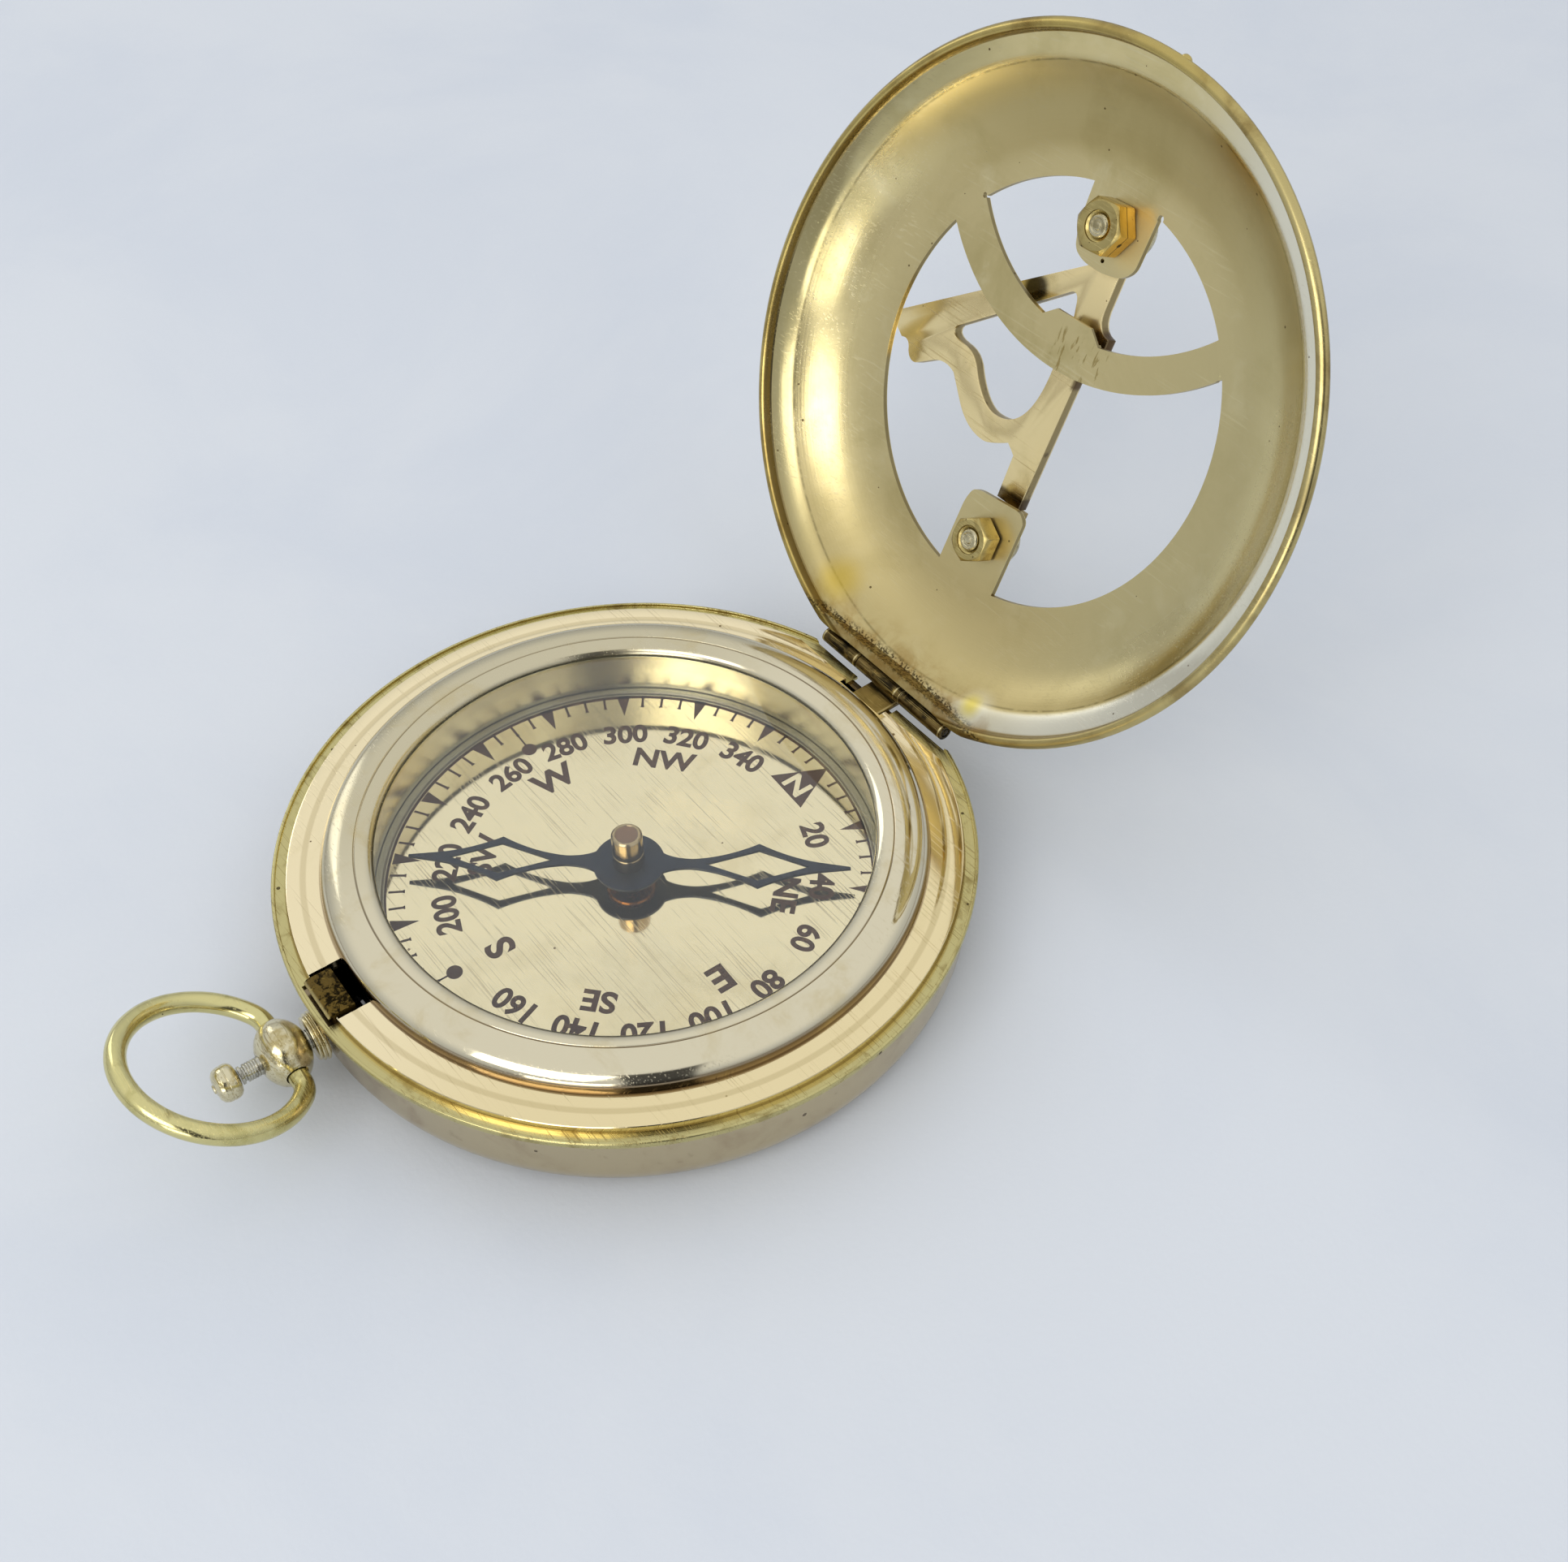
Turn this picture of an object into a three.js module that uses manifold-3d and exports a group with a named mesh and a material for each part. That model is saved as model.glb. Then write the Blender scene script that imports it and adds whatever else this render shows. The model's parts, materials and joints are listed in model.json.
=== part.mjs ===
// Brass pocket sundial compass with its cover open. Millimetres, +Z up.
// The origin is the centre of the case's bottom face, and the hinge is towards +Y.
import * as THREE from 'three';
import { mergeVertices } from 'three/addons/utils/BufferGeometryUtils.js';
import Module from 'manifold-3d';

const wasm = await Module();
wasm.setup();

// Fineness of round pieces
const wideSides = 48;
const smallSides = 20;
const tubeSides = 8;
const hexSides = 6;
const cornerSteps = 4;

// Clearances
const seatGap = 0.3;
const runningGap = 0.1;
const looseGap = 0.25;

// Capsule with the dial, under the glass; the case grows outwards from it
const capsuleInner = 27.15;
const capsuleWall = 0.8;
const capsuleFloorBottom = 2.9;
const capsuleFloor = 0.8;
const capsuleFlangeReach = 1.65;
const capsuleFlangeThick = 0.4;
const capsuleOuter = capsuleInner + capsuleWall;
const capsuleFlangeRadius = capsuleOuter + capsuleFlangeReach;
const dialBottom = capsuleFloorBottom + capsuleFloor;
const dialThick = 0.8;
const dialTop = dialBottom + dialThick;
const spacerWidth = 1.1;
const spacerHeight = 0.45;

// Bezel's plan
const bezelFootWidth = 3.1;
const bezelShoulder = 2.55;
const bezelLipReach = 0.2;
const bezelBoreRadius = capsuleFlangeRadius + 0.05;
const bezelFootRadius = bezelBoreRadius + bezelFootWidth;
const bezelCrestRadius = bezelFootRadius - bezelShoulder;
const bezelLipRadius = capsuleInner - bezelLipReach;

// Case pan
const flangeWidth = 4.65;
const caseRadius = bezelFootRadius + flangeWidth;
const caseWall = 0.9;
const caseCorner = 4.6;
const panHeight = 9.75;
const chordInset = 1.9;
const chordDistance = caseRadius - chordInset;

// Rim plate on the pan
const lipOverhang = 0.7;
const lipWidth = 0.4;
const lipHeight = 0.75;
const ledgeHeight = 0.35;
const ledgeWidth = 1.2;
const flangeRise = 1.25;
const grooveInset = 1.7;
const grooveWidth = 0.15;
const grooveDepth = 0.15;
const outerFlangeDrop = 0.12;
const backLedgeWidth = 1.3;
const rimRadius = caseRadius + lipOverhang;
const lipInner = rimRadius - lipWidth;
const flangeRadius = lipInner - ledgeWidth;
const lipTop = panHeight + lipHeight;
const ledgeTop = panHeight + ledgeHeight;
const flangeTop = panHeight + flangeRise;
const grooveRadius = flangeRadius - grooveInset;

// Glass, and the bezel's heights
const glassThick = 1.0;
const glassRadius = capsuleOuter - 0.05;
const capsuleTop = flangeTop + capsuleFlangeThick;
const glassTop = capsuleTop + glassThick;
const bezelLipRise = 1.0;
const bezelFootHeight = 0.5;
const bezelGrooveHalf = 0.15;
const bezelTop = glassTop + bezelLipRise;

// Needle and its pivot
const pivotRadius = 0.5;
const pivotCollarRadius = 1.5;
const pivotCollarHeight = 0.4;
const pivotTipDrop = 0.3;
const needleLift = 1.95;
const needleThick = 0.3;
const needleLength = 23.7;
const needleTurn = 40.6;
const needleTip = 0.12;
const hubRadius = 3.85;
const hubBore = pivotRadius + 0.08;
const stemHalfWidth = 0.62;
const stemStart = 6.8;
const windowStart = 8.2;
const diamondMiddle = 13.85;
const windowEnd = 19.3;
const spearStart = 20.2;
const diamondHalfWidth = 2.95;
const diamondFrame = 0.9;
const capRadius = 1.7;
const capCrown = 0.7;
const capToGlass = 0.25;
const needleCollarRadius = 2.6;
const needleCollarHeight = 0.7;
const needleBottom = dialTop + needleLift;
const needleTop = needleBottom + needleThick;
const capTop = capsuleTop - capToGlass;

// Hinge
const hingeReach = 1.5;
const hingeRise = 1.0;
const knuckleRadius = 0.95;
const hingePinRadius = 0.45;
const leftKnuckleEnd = -10.7;
const middleKnuckleStart = -4.6;
const middleKnuckleEnd = 2.9;
const rightKnuckleEnd = 10.2;
const leafHalfWidth = 2.3;
const leafThick = 0.5;
const notchInset = 2.2;
const hingeY = chordDistance + hingeReach;
const hingeZ = lipTop + hingeRise;

// Crown, seen from above turned a little away from the hinge's middle line
const crownTurn = 3.0;
const crownHeight = 5.7;
const neckRadius = 2.75;
const neckLength = 1.35;
const ballRadius = 3.65;
const ballHalfLength = 2.8;
const ballFlat = 0.25;
const stemRadius = 1.0;
const stemOut = 2.3;
const knobRadius = 1.95;
const knobLength = 2.75;
const buttonTravel = 1.1;
const neckStart = caseRadius + 0.15;
const ballStart = neckStart + neckLength + seatGap;
const ballCentre = ballStart + ballHalfLength - ballFlat;
const ballEnd = ballCentre + ballHalfLength - ballFlat;
const knobStart = ballEnd + stemOut;

// Catch, worked by the button
const catchHalfWidth = 2.8;
const catchLength = 2.45;
const catchReach = 0.6;
const catchRise = 0.2;
const noseThick = 0.4;
const armHalfWidth = 1.6;
const armThick = 0.9;
const armDrop = 1.5;
const slotUndercut = 0.15;
const slotSideGap = 0.55;
const springRadius = 1.5;
const springWire = 0.25;
const springTurns = 4;
const catchTop = flangeTop + catchRise;
const catchBlockOuter = flangeRadius;
const catchBlockInner = catchBlockOuter - catchLength;
const noseBottom = lipTop + seatGap;
const slotInner = bezelFootRadius - slotUndercut;

// Bow ring, hanging in the ball
const bowRadius = 9.4;
const bowWire = 1.12;
const bowCentre = 7.8;
const bowTilt = 27.4;
const bowPinInner = 2.6;
const bowBendStart = 4.2;
const bowBendAngle = 41;

// Cover, described from the hinge axis outwards with its depth behind the hinge plane
const coverOpenAngle = 115.2;
const coverOverhang = 0.6;
const coverRimWidth = 1.3;
const coverRimFront = 1.1;
const coverRimEdge = 0.45;
const coverSheet = 0.7;
const scribeInset = 4.0;
const scribeDepth = 1.5;
const domeControlInset = 4.0;
const domeWidth = 10.0;
const coverDepth = 5.7;
const coverChordGap = 1.3;
const chordWall = 1.1;
const domeSteps = 5;
const cutoutInset = 1.0;
const cutoutX = -0.45;
const cutoutY = -0.3;
const thumbRadius = 0.8;
const thumbX = 3.5;
const coverRadius = caseRadius + coverOverhang;
const coverRimInner = coverRadius - coverRimWidth;
const scribeRadius = coverRadius - scribeInset;
const domeControl = scribeRadius - domeControlInset;
const crownRadius = scribeRadius - domeWidth;
const cutoutRadius = crownRadius - cutoutInset;
const coverOutside = coverDepth + coverSheet;

// Spring strip across the cut-out
const stripCentreY = 30.2;
const stripInner = 22.5;
const stripOuter = 26.9;
const stripThick = 0.55;
const stripInset = 0.25;
const stripRootReach = 0.4;
const padHalfWidth = 2.6;
const padSlope = 1.4;
const padTop = 9.4;
const padBottom = 6.5;

// Tabs that reach into the cut-out
const tabCorner = 1.2;
const lowerTab = { x: 0.05, halfWidth: 4.2, end: -13.2, screwX: 0.3, screwY: -17.8, side: -1 };
const upperTab = { x: -0.35, halfWidth: 4.5, end: 15.4, screwX: -0.5, screwY: 19.3, side: 1 };

// Gnomon folded flat behind the cover, and what carries it
const gnomonAxisX = 0.5;
const gnomonAxisDepth = 8.85;
const gnomonThick = 1.5;
const barLeft = -1.95;
const barRight = 1.4;
const barLow = -13.6;
const barHigh = 15.0;
const lugLow = 2.9;
const lugHigh = 8.2;
const lugReach = 2.75;
const gnomonPinRadius = 0.4;
const scrollUnit = 1.0;
const gnomonPinDepth = 1.2;
const earThick = 0.7;
const earHalfWidth = 1.2;
const earMargin = 1.1;
const bracketThick = 0.9;
const bracketHalfWidth = 2.7;

// Fasteners of the gnomon brackets
const screwRadius = 1.25;
const screwHeadRadius = 2.85;
const screwHeadHeight = 2.1;
const screwEnd = 0.3;
const nutAcrossFlats = 4.8;
const nutThick = 2.3;

const materials = {
  flangeBrass: new THREE.MeshStandardMaterial({ color: 0xe6d2a0, roughness: 0.12, metalness: 1 }),
  bezelBrass: new THREE.MeshStandardMaterial({ color: 0xcfc6a0, roughness: 0.2, metalness: 1 }),
  caseBrass: new THREE.MeshStandardMaterial({ color: 0xb9a06a, roughness: 0.3, metalness: 1 }),
  coverBrass: new THREE.MeshStandardMaterial({ color: 0xbfb47e, roughness: 0.35, metalness: 1 }),
  gnomonBrass: new THREE.MeshStandardMaterial({ color: 0xd2c48c, roughness: 0.3, metalness: 1 }),
  yellowBrass: new THREE.MeshStandardMaterial({ color: 0xc9b45a, roughness: 0.28, metalness: 1 }),
  paleBrass: new THREE.MeshStandardMaterial({ color: 0xd6cdb2, roughness: 0.25, metalness: 1 }),
  darkBrass: new THREE.MeshStandardMaterial({ color: 0x5e5334, roughness: 0.5, metalness: 1 }),
  dialBrass: new THREE.MeshStandardMaterial({ color: 0xe8d8a8, roughness: 0.15, metalness: 1 }),
  blackSteel: new THREE.MeshStandardMaterial({ color: 0x20242c, roughness: 0.4, metalness: 1 }),
  springSteel: new THREE.MeshStandardMaterial({ color: 0x8e9094, roughness: 0.35, metalness: 1 }),
  glass: new THREE.MeshStandardMaterial({ color: 0xf4faff, roughness: 0.02, metalness: 0, opacity: 0.3 }),
};

// Solids from geometries
function solid(geometry) {
  const bare = geometry.clone();
  bare.deleteAttribute('normal');
  bare.deleteAttribute('uv');
  const merged = mergeVertices(bare);
  const position = merged.attributes.position;
  const index = merged.index.array;
  const triangles = [];
  const a = new THREE.Vector3();
  const b = new THREE.Vector3();
  const c = new THREE.Vector3();
  let volume = 0;
  for (let i = 0; i < index.length; i += 3) {
    const [p, q, r] = [index[i], index[i + 1], index[i + 2]];
    if (p === q || q === r || r === p) continue;
    triangles.push([p, q, r]);
    a.fromBufferAttribute(position, p);
    b.fromBufferAttribute(position, q);
    c.fromBufferAttribute(position, r);
    volume += a.dot(b.cross(c));
  }
  const facing = volume < 0 ? triangles.map(([p, q, r]) => [p, r, q]) : triangles;
  const mesh = new wasm.Mesh({
    numProp: 3,
    vertProperties: new Float32Array(position.array),
    triVerts: new Uint32Array(facing.flat()),
  });
  return new wasm.Manifold(mesh);
}

function pieceMesh(name, body, material) {
  const mesh = body.getMesh();
  const geometry = new THREE.BufferGeometry();
  geometry.setAttribute('position', new THREE.BufferAttribute(mesh.vertProperties, mesh.numProp));
  geometry.setIndex(new THREE.BufferAttribute(mesh.triVerts, 1));
  geometry.computeVertexNormals();
  const piece = new THREE.Mesh(geometry, material);
  piece.name = name;
  return piece;
}

// A profile of [radius, height] points turned about the Z axis
function revolve(points, sides = wideSides) {
  const profile = points.map(([radius, height]) => new THREE.Vector2(radius, height));
  const onAxis = points[0][0] === 0 && points.at(-1)[0] === 0;
  if (!onAxis) profile.push(profile[0].clone());
  return solid(new THREE.LatheGeometry(profile, sides).rotateX(Math.PI / 2));
}

// A profile of [radius, distance] points turned about the -Y axis
function revolveOutwards(points, sides = smallSides) {
  const profile = points.map(([radius, distance]) => new THREE.Vector2(radius, distance));
  const onAxis = points[0][0] === 0 && points.at(-1)[0] === 0;
  if (!onAxis) profile.push(profile[0].clone());
  return solid(new THREE.LatheGeometry(profile, sides).rotateX(Math.PI));
}

function block(x0, x1, y0, y1, z0, z1) {
  const geometry = new THREE.BoxGeometry(x1 - x0, y1 - y0, z1 - z0);
  return solid(geometry.translate((x0 + x1) / 2, (y0 + y1) / 2, (z0 + z1) / 2));
}

function prism(shape, z0, z1, curveSegments = 8) {
  const settings = { depth: z1 - z0, bevelEnabled: false, curveSegments };
  return solid(new THREE.ExtrudeGeometry(shape, settings).translate(0, 0, z0));
}

function polygon(points) {
  return new THREE.Shape(points.map(([x, y]) => new THREE.Vector2(x, y)));
}

function rod(radius, z0, z1, sides = smallSides) {
  const geometry = new THREE.CylinderGeometry(radius, radius, z1 - z0, sides);
  return solid(geometry.rotateX(Math.PI / 2).translate(0, 0, (z0 + z1) / 2));
}

function rodAlongX(radius, x0, x1, sides = smallSides) {
  const geometry = new THREE.CylinderGeometry(radius, radius, x1 - x0, sides);
  return solid(geometry.rotateZ(Math.PI / 2).translate((x0 + x1) / 2, 0, 0));
}

function rodAlongY(radius, y0, y1, sides = smallSides) {
  const geometry = new THREE.CylinderGeometry(radius, radius, y1 - y0, sides);
  return solid(geometry.translate(0, (y0 + y1) / 2, 0));
}

// The half space up to a flat back at y, over the whole part
const farAway = 100;
function inFrontOf(y) {
  return block(-farAway, farAway, -farAway, y, -farAway, farAway);
}

function arcPoints(centre, radius, from, to, steps) {
  const points = [];
  for (let i = 0; i <= steps; i += 1) {
    const angle = THREE.MathUtils.degToRad(from + ((to - from) * i) / steps);
    points.push([centre[0] + radius * Math.cos(angle), centre[1] + radius * Math.sin(angle)]);
  }
  return points;
}

// Turns a cutting solid to the crown's direction
function toCrown(body) {
  return body.rotate([0, 0, -crownTurn]);
}

// Case pan: round cup with a flat back and the button's hole
function makeCasePan() {
  const cornerCentre = [caseRadius - caseCorner, caseCorner];
  const outside = revolve([
    [0, 0],
    ...arcPoints(cornerCentre, caseCorner, -90, 0, cornerSteps),
    [caseRadius, panHeight],
    [0, panHeight],
  ]);
  const inside = revolve([
    [0, caseWall],
    ...arcPoints(cornerCentre, caseCorner - caseWall, -90, 0, cornerSteps),
    [caseRadius - caseWall, panHeight + 1],
    [0, panHeight + 1],
  ]);
  const hollow = inside.intersect(inFrontOf(chordDistance - caseWall));
  const hole = rodAlongY(stemRadius + runningGap, -caseRadius - 1, -caseRadius + caseCorner)
    .translate([0, 0, crownHeight]);
  return outside.intersect(inFrontOf(chordDistance)).subtract(hollow).subtract(toCrown(hole));
}

// Rim plate: mirror flange, ledge for the cover, outer lip, catch slot and hinge notch
function makeRimPlate() {
  const bore = capsuleOuter + 0.05;
  const ledge = revolve([[bore, panHeight], [rimRadius, panHeight], [rimRadius, ledgeTop], [bore, ledgeTop]]);
  const lip = revolve([
    [lipInner, panHeight], [rimRadius, panHeight], [rimRadius, lipTop - 0.1],
    [rimRadius - 0.1, lipTop], [lipInner, lipTop],
  ]);
  const flange = revolve([
    [bore, panHeight],
    [flangeRadius, panHeight],
    [flangeRadius, flangeTop - outerFlangeDrop],
    [grooveRadius + grooveWidth, flangeTop - outerFlangeDrop],
    [grooveRadius + grooveWidth, flangeTop - outerFlangeDrop - grooveDepth],
    [grooveRadius, flangeTop - outerFlangeDrop - grooveDepth],
    [grooveRadius, flangeTop],
    [bore, flangeTop],
  ]);
  const catchSlot = block(
    -catchHalfWidth - slotSideGap, catchHalfWidth + slotSideGap,
    -flangeRadius + looseGap, -slotInner, 0, farAway,
  );
  const noseSlot = block(
    -catchHalfWidth - looseGap, catchHalfWidth + looseGap,
    -flangeRadius - catchReach - looseGap, -slotInner, 0, farAway,
  );
  const notch = block(
    middleKnuckleStart + 0.6, middleKnuckleEnd + 0.1,
    chordDistance - notchInset, chordDistance + 1, 0, farAway,
  );
  return ledge.add(lip)
    .intersect(inFrontOf(chordDistance))
    .add(flange.intersect(inFrontOf(chordDistance - backLedgeWidth)))
    .subtract(toCrown(catchSlot.add(noseSlot)))
    .subtract(notch);
}

function makeBezel() {
  const crestDip = bezelTop - bezelGrooveHalf;
  return revolve([
    [bezelFootRadius, flangeTop],
    [bezelFootRadius, flangeTop + bezelFootHeight],
    [bezelFootRadius - 0.35, flangeTop + 1.3],
    [bezelFootRadius - 1.1, bezelTop - 0.45],
    [bezelCrestRadius + bezelGrooveHalf, bezelTop],
    [bezelCrestRadius, crestDip],
    [bezelCrestRadius - bezelGrooveHalf, bezelTop],
    [bezelLipRadius + 0.7, bezelTop - 0.05],
    [bezelLipRadius, bezelTop - 0.3],
    [bezelLipRadius, glassTop],
    [capsuleOuter, glassTop],
    [capsuleOuter, capsuleTop],
    [bezelBoreRadius, capsuleTop],
    [bezelBoreRadius, flangeTop],
  ]);
}

function makeGlass() {
  return rod(glassRadius, capsuleTop, glassTop, wideSides);
}

function makeCapsule() {
  const cup = revolve([
    [0, capsuleFloorBottom],
    [capsuleOuter, capsuleFloorBottom],
    [capsuleOuter, flangeTop],
    [capsuleFlangeRadius, flangeTop],
    [capsuleFlangeRadius, capsuleTop],
    [capsuleInner, capsuleTop],
    [capsuleInner, dialBottom],
    [0, dialBottom],
  ]);
  return cup.subtract(rod(pivotRadius + 0.05, 0, capsuleTop));
}

function makeDialPlate() {
  const plate = rod(capsuleInner - 0.05, dialBottom, dialTop, wideSides);
  return plate.subtract(rod(pivotRadius + 0.05, 0, capsuleTop));
}

function makeDialSpacer() {
  const outer = capsuleInner - 0.05;
  const inner = outer - spacerWidth;
  const top = dialTop + spacerHeight;
  return revolve([[inner, dialTop], [outer, dialTop], [outer, top], [inner, top]]);
}

function makePivotPin() {
  const boreEnd = capTop - capCrown;
  return revolve([
    [0, capsuleFloorBottom],
    [pivotRadius, capsuleFloorBottom],
    [pivotRadius, dialTop],
    [pivotCollarRadius, dialTop],
    [pivotCollarRadius, dialTop + pivotCollarHeight],
    [pivotRadius, dialTop + pivotCollarHeight],
    [pivotRadius, boreEnd - pivotTipDrop - 0.8],
    [0, boreEnd - pivotTipDrop],
  ], smallSides);
}

// Needle: a skeleton of two diamonds on a hub disc
function needleEdge(shape, along, across) {
  shape.lineTo(across * hubRadius * 0.45, along * hubRadius * 0.8);
  shape.quadraticCurveTo(across * stemHalfWidth, along * hubRadius * 1.1, across * stemHalfWidth, along * stemStart);
  shape.quadraticCurveTo(
    across * stemHalfWidth * 1.5, along * (stemStart + diamondMiddle) / 2,
    across * diamondHalfWidth, along * diamondMiddle,
  );
  shape.quadraticCurveTo(
    across * stemHalfWidth * 1.9, along * (diamondMiddle + spearStart) / 2,
    across * stemHalfWidth, along * spearStart,
  );
}

function needleHalf(along) {
  const outline = new THREE.Shape();
  outline.moveTo(0, 0);
  needleEdge(outline, along, 1);
  outline.lineTo(needleTip, along * needleLength);
  outline.lineTo(-needleTip, along * needleLength);
  const otherEdge = new THREE.Shape();
  otherEdge.moveTo(0, 0);
  needleEdge(otherEdge, along, -1);
  const back = otherEdge.getPoints(4).slice(1).reverse();
  for (const point of back) outline.lineTo(point.x, point.y);
  const window = polygon([
    [0, along * windowStart],
    [diamondHalfWidth - diamondFrame, along * diamondMiddle],
    [0, along * windowEnd],
    [-diamondHalfWidth + diamondFrame, along * diamondMiddle],
  ]);
  return prism(outline, needleBottom, needleTop, 4).subtract(prism(window, needleBottom - 1, needleTop + 1));
}

function makeNeedle() {
  const hub = rod(hubRadius, needleBottom, needleTop);
  return hub.add(needleHalf(1)).add(needleHalf(-1)).subtract(rod(hubBore, 0, farAway));
}

function makeNeedleCap() {
  return revolve([
    [0, capTop - capCrown],
    [hubBore, capTop - capCrown],
    [hubBore, needleTop],
    [capRadius, needleTop],
    [capRadius, capTop - 0.15],
    [capRadius - 0.15, capTop],
    [0, capTop],
  ], smallSides);
}

function makeNeedleCollar() {
  const bottom = needleBottom - needleCollarHeight;
  return revolve([
    [hubBore, bottom], [needleCollarRadius, bottom], [needleCollarRadius, needleBottom], [hubBore, needleBottom],
  ], smallSides);
}

// Hinge leaf on the case with the middle knuckle
function makeHingeLeaf() {
  const leafEnd = chordDistance - notchInset + seatGap;
  const side = new THREE.Shape([
    [leafEnd, panHeight],
    [hingeY + 0.1, panHeight],
    [hingeY + 0.55, panHeight + 0.4],
    [hingeY + 0.55, hingeZ - 0.5],
    [hingeY - 0.05, hingeZ - 0.5],
    [hingeY - 0.2, panHeight + leafThick],
    [leafEnd, panHeight + leafThick],
  ].map(([y, z]) => new THREE.Vector2(y, z)));
  const geometry = new THREE.ExtrudeGeometry(side, { depth: leafHalfWidth * 2, bevelEnabled: false });
  geometry.rotateX(Math.PI / 2).rotateZ(Math.PI / 2).translate(-leafHalfWidth, 0, 0);
  const knuckle = rodAlongX(knuckleRadius, middleKnuckleStart, middleKnuckleEnd).translate([0, hingeY, hingeZ]);
  const bore = rodAlongX(hingePinRadius + 0.05, -farAway, farAway).translate([0, hingeY, hingeZ]);
  return solid(geometry).add(knuckle).subtract(bore);
}

function makeHingePin() {
  return rodAlongX(hingePinRadius, leftKnuckleEnd, rightKnuckleEnd).translate([0, hingeY, hingeZ]);
}

// Crown pieces, with their axis along -Y at the height of the crown
function makePendantNeck() {
  const bore = stemRadius + runningGap;
  return revolveOutwards([
    [bore, neckStart],
    [neckRadius - 0.4, neckStart],
    [neckRadius - 0.4, neckStart + 0.2],
    [neckRadius, neckStart + 0.3],
    [neckRadius, neckStart + 0.6],
    [neckRadius - 0.35, neckStart + 0.7],
    [neckRadius - 0.35, neckStart + 0.85],
    [neckRadius - 0.1, neckStart + 0.95],
    [neckRadius - 0.1, neckStart + 1.1],
    [neckRadius - 0.9, neckStart + neckLength],
    [bore, neckStart + neckLength],
  ]);
}

function makePendantBall() {
  const bore = stemRadius + runningGap;
  const flatAngle = THREE.MathUtils.radToDeg(Math.asin((ballHalfLength - ballFlat) / ballHalfLength));
  const bulge = arcPoints([0, 0], 1, -flatAngle, flatAngle, 8)
    .map(([x, y]) => [ballRadius * x, ballCentre + ballHalfLength * y]);
  const ball = revolveOutwards([[bore, ballStart], ...bulge, [bore, ballEnd]]);
  const hole = bowWire + runningGap;
  const depth = bowPinInner - looseGap;
  const left = rodAlongX(hole, -farAway, -depth).translate([0, -ballCentre, 0]);
  const right = rodAlongX(hole, depth, farAway).translate([0, -ballCentre, 0]);
  return ball.subtract(left).subtract(right);
}

function makePushStem() {
  const start = catchBlockOuter - armThick / 2 + seatGap;
  const groove = knobStart - 0.6;
  return revolveOutwards([
    [0, start],
    [stemRadius, start],
    [stemRadius, groove - 0.15],
    [stemRadius - 0.15, groove],
    [stemRadius, groove + 0.15],
    [stemRadius, knobStart],
    [0, knobStart],
  ]);
}

function makePushKnob() {
  const start = knobStart + seatGap / 2;
  const end = start + knobLength - 0.2;
  return revolveOutwards([
    [0, start],
    [stemRadius, start],
    [knobRadius - 0.4, start + 0.15],
    [knobRadius - 0.05, start + 0.65],
    [knobRadius, start + 1.25],
    [knobRadius - 0.1, start + 1.8],
    [knobRadius - 0.5, end - 0.25],
    [knobRadius - 1.1, end],
    [0.5, end],
    [0.45, end + 0.2],
    [0, end + 0.2],
  ]);
}

// Catch: a block with an undercut nose in the slot, and an arm down to the stem
function makeCatch() {
  const side = new THREE.Shape([
    [catchBlockInner, panHeight + 0.1],
    [catchBlockOuter - 0.05, panHeight + 0.1],
    [catchBlockOuter - 0.05, noseBottom],
    [catchBlockOuter + catchReach, noseBottom],
    [catchBlockOuter + catchReach, noseBottom + noseThick / 4],
    [catchBlockOuter + 0.2, catchTop],
    [catchBlockInner, catchTop],
  ].map(([distance, z]) => new THREE.Vector2(-distance, z)));
  const geometry = new THREE.ExtrudeGeometry(side, { depth: catchHalfWidth * 2, bevelEnabled: false });
  geometry.rotateX(Math.PI / 2).rotateZ(Math.PI / 2).translate(-catchHalfWidth, 0, 0);
  const armOuter = catchBlockOuter - armThick / 2;
  const arm = block(
    -armHalfWidth, armHalfWidth, -armOuter, -armOuter + armThick, crownHeight - armDrop, panHeight + 0.2,
  );
  return solid(geometry).add(arm);
}

function tubeAlong(points, radius, sides, steps) {
  const section = new THREE.Shape(arcPoints([0, 0], radius, 0, 360 - 360 / sides, sides - 1)
    .map(([x, y]) => new THREE.Vector2(x, y)));
  const path = new THREE.CatmullRomCurve3(points, false, 'centripetal');
  return solid(new THREE.ExtrudeGeometry(section, { steps, bevelEnabled: false, extrudePath: path }));
}

// Return spring between the capsule's wall and the catch's arm
function makeReturnSpring() {
  const start = capsuleOuter + springWire + seatGap;
  const armInner = catchBlockOuter - armThick * 1.5;
  const end = armInner - buttonTravel - springWire - seatGap;
  const stepsPerTurn = 8;
  const points = [];
  for (let i = 0; i <= springTurns * stepsPerTurn; i += 1) {
    const angle = (2 * Math.PI * i) / stepsPerTurn;
    const distance = start + ((end - start) * i) / (springTurns * stepsPerTurn);
    points.push(new THREE.Vector3(springRadius * Math.cos(angle), -distance, springRadius * Math.sin(angle)));
  }
  return tubeAlong(points, springWire, 5, springTurns * stepsPerTurn);
}

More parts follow.
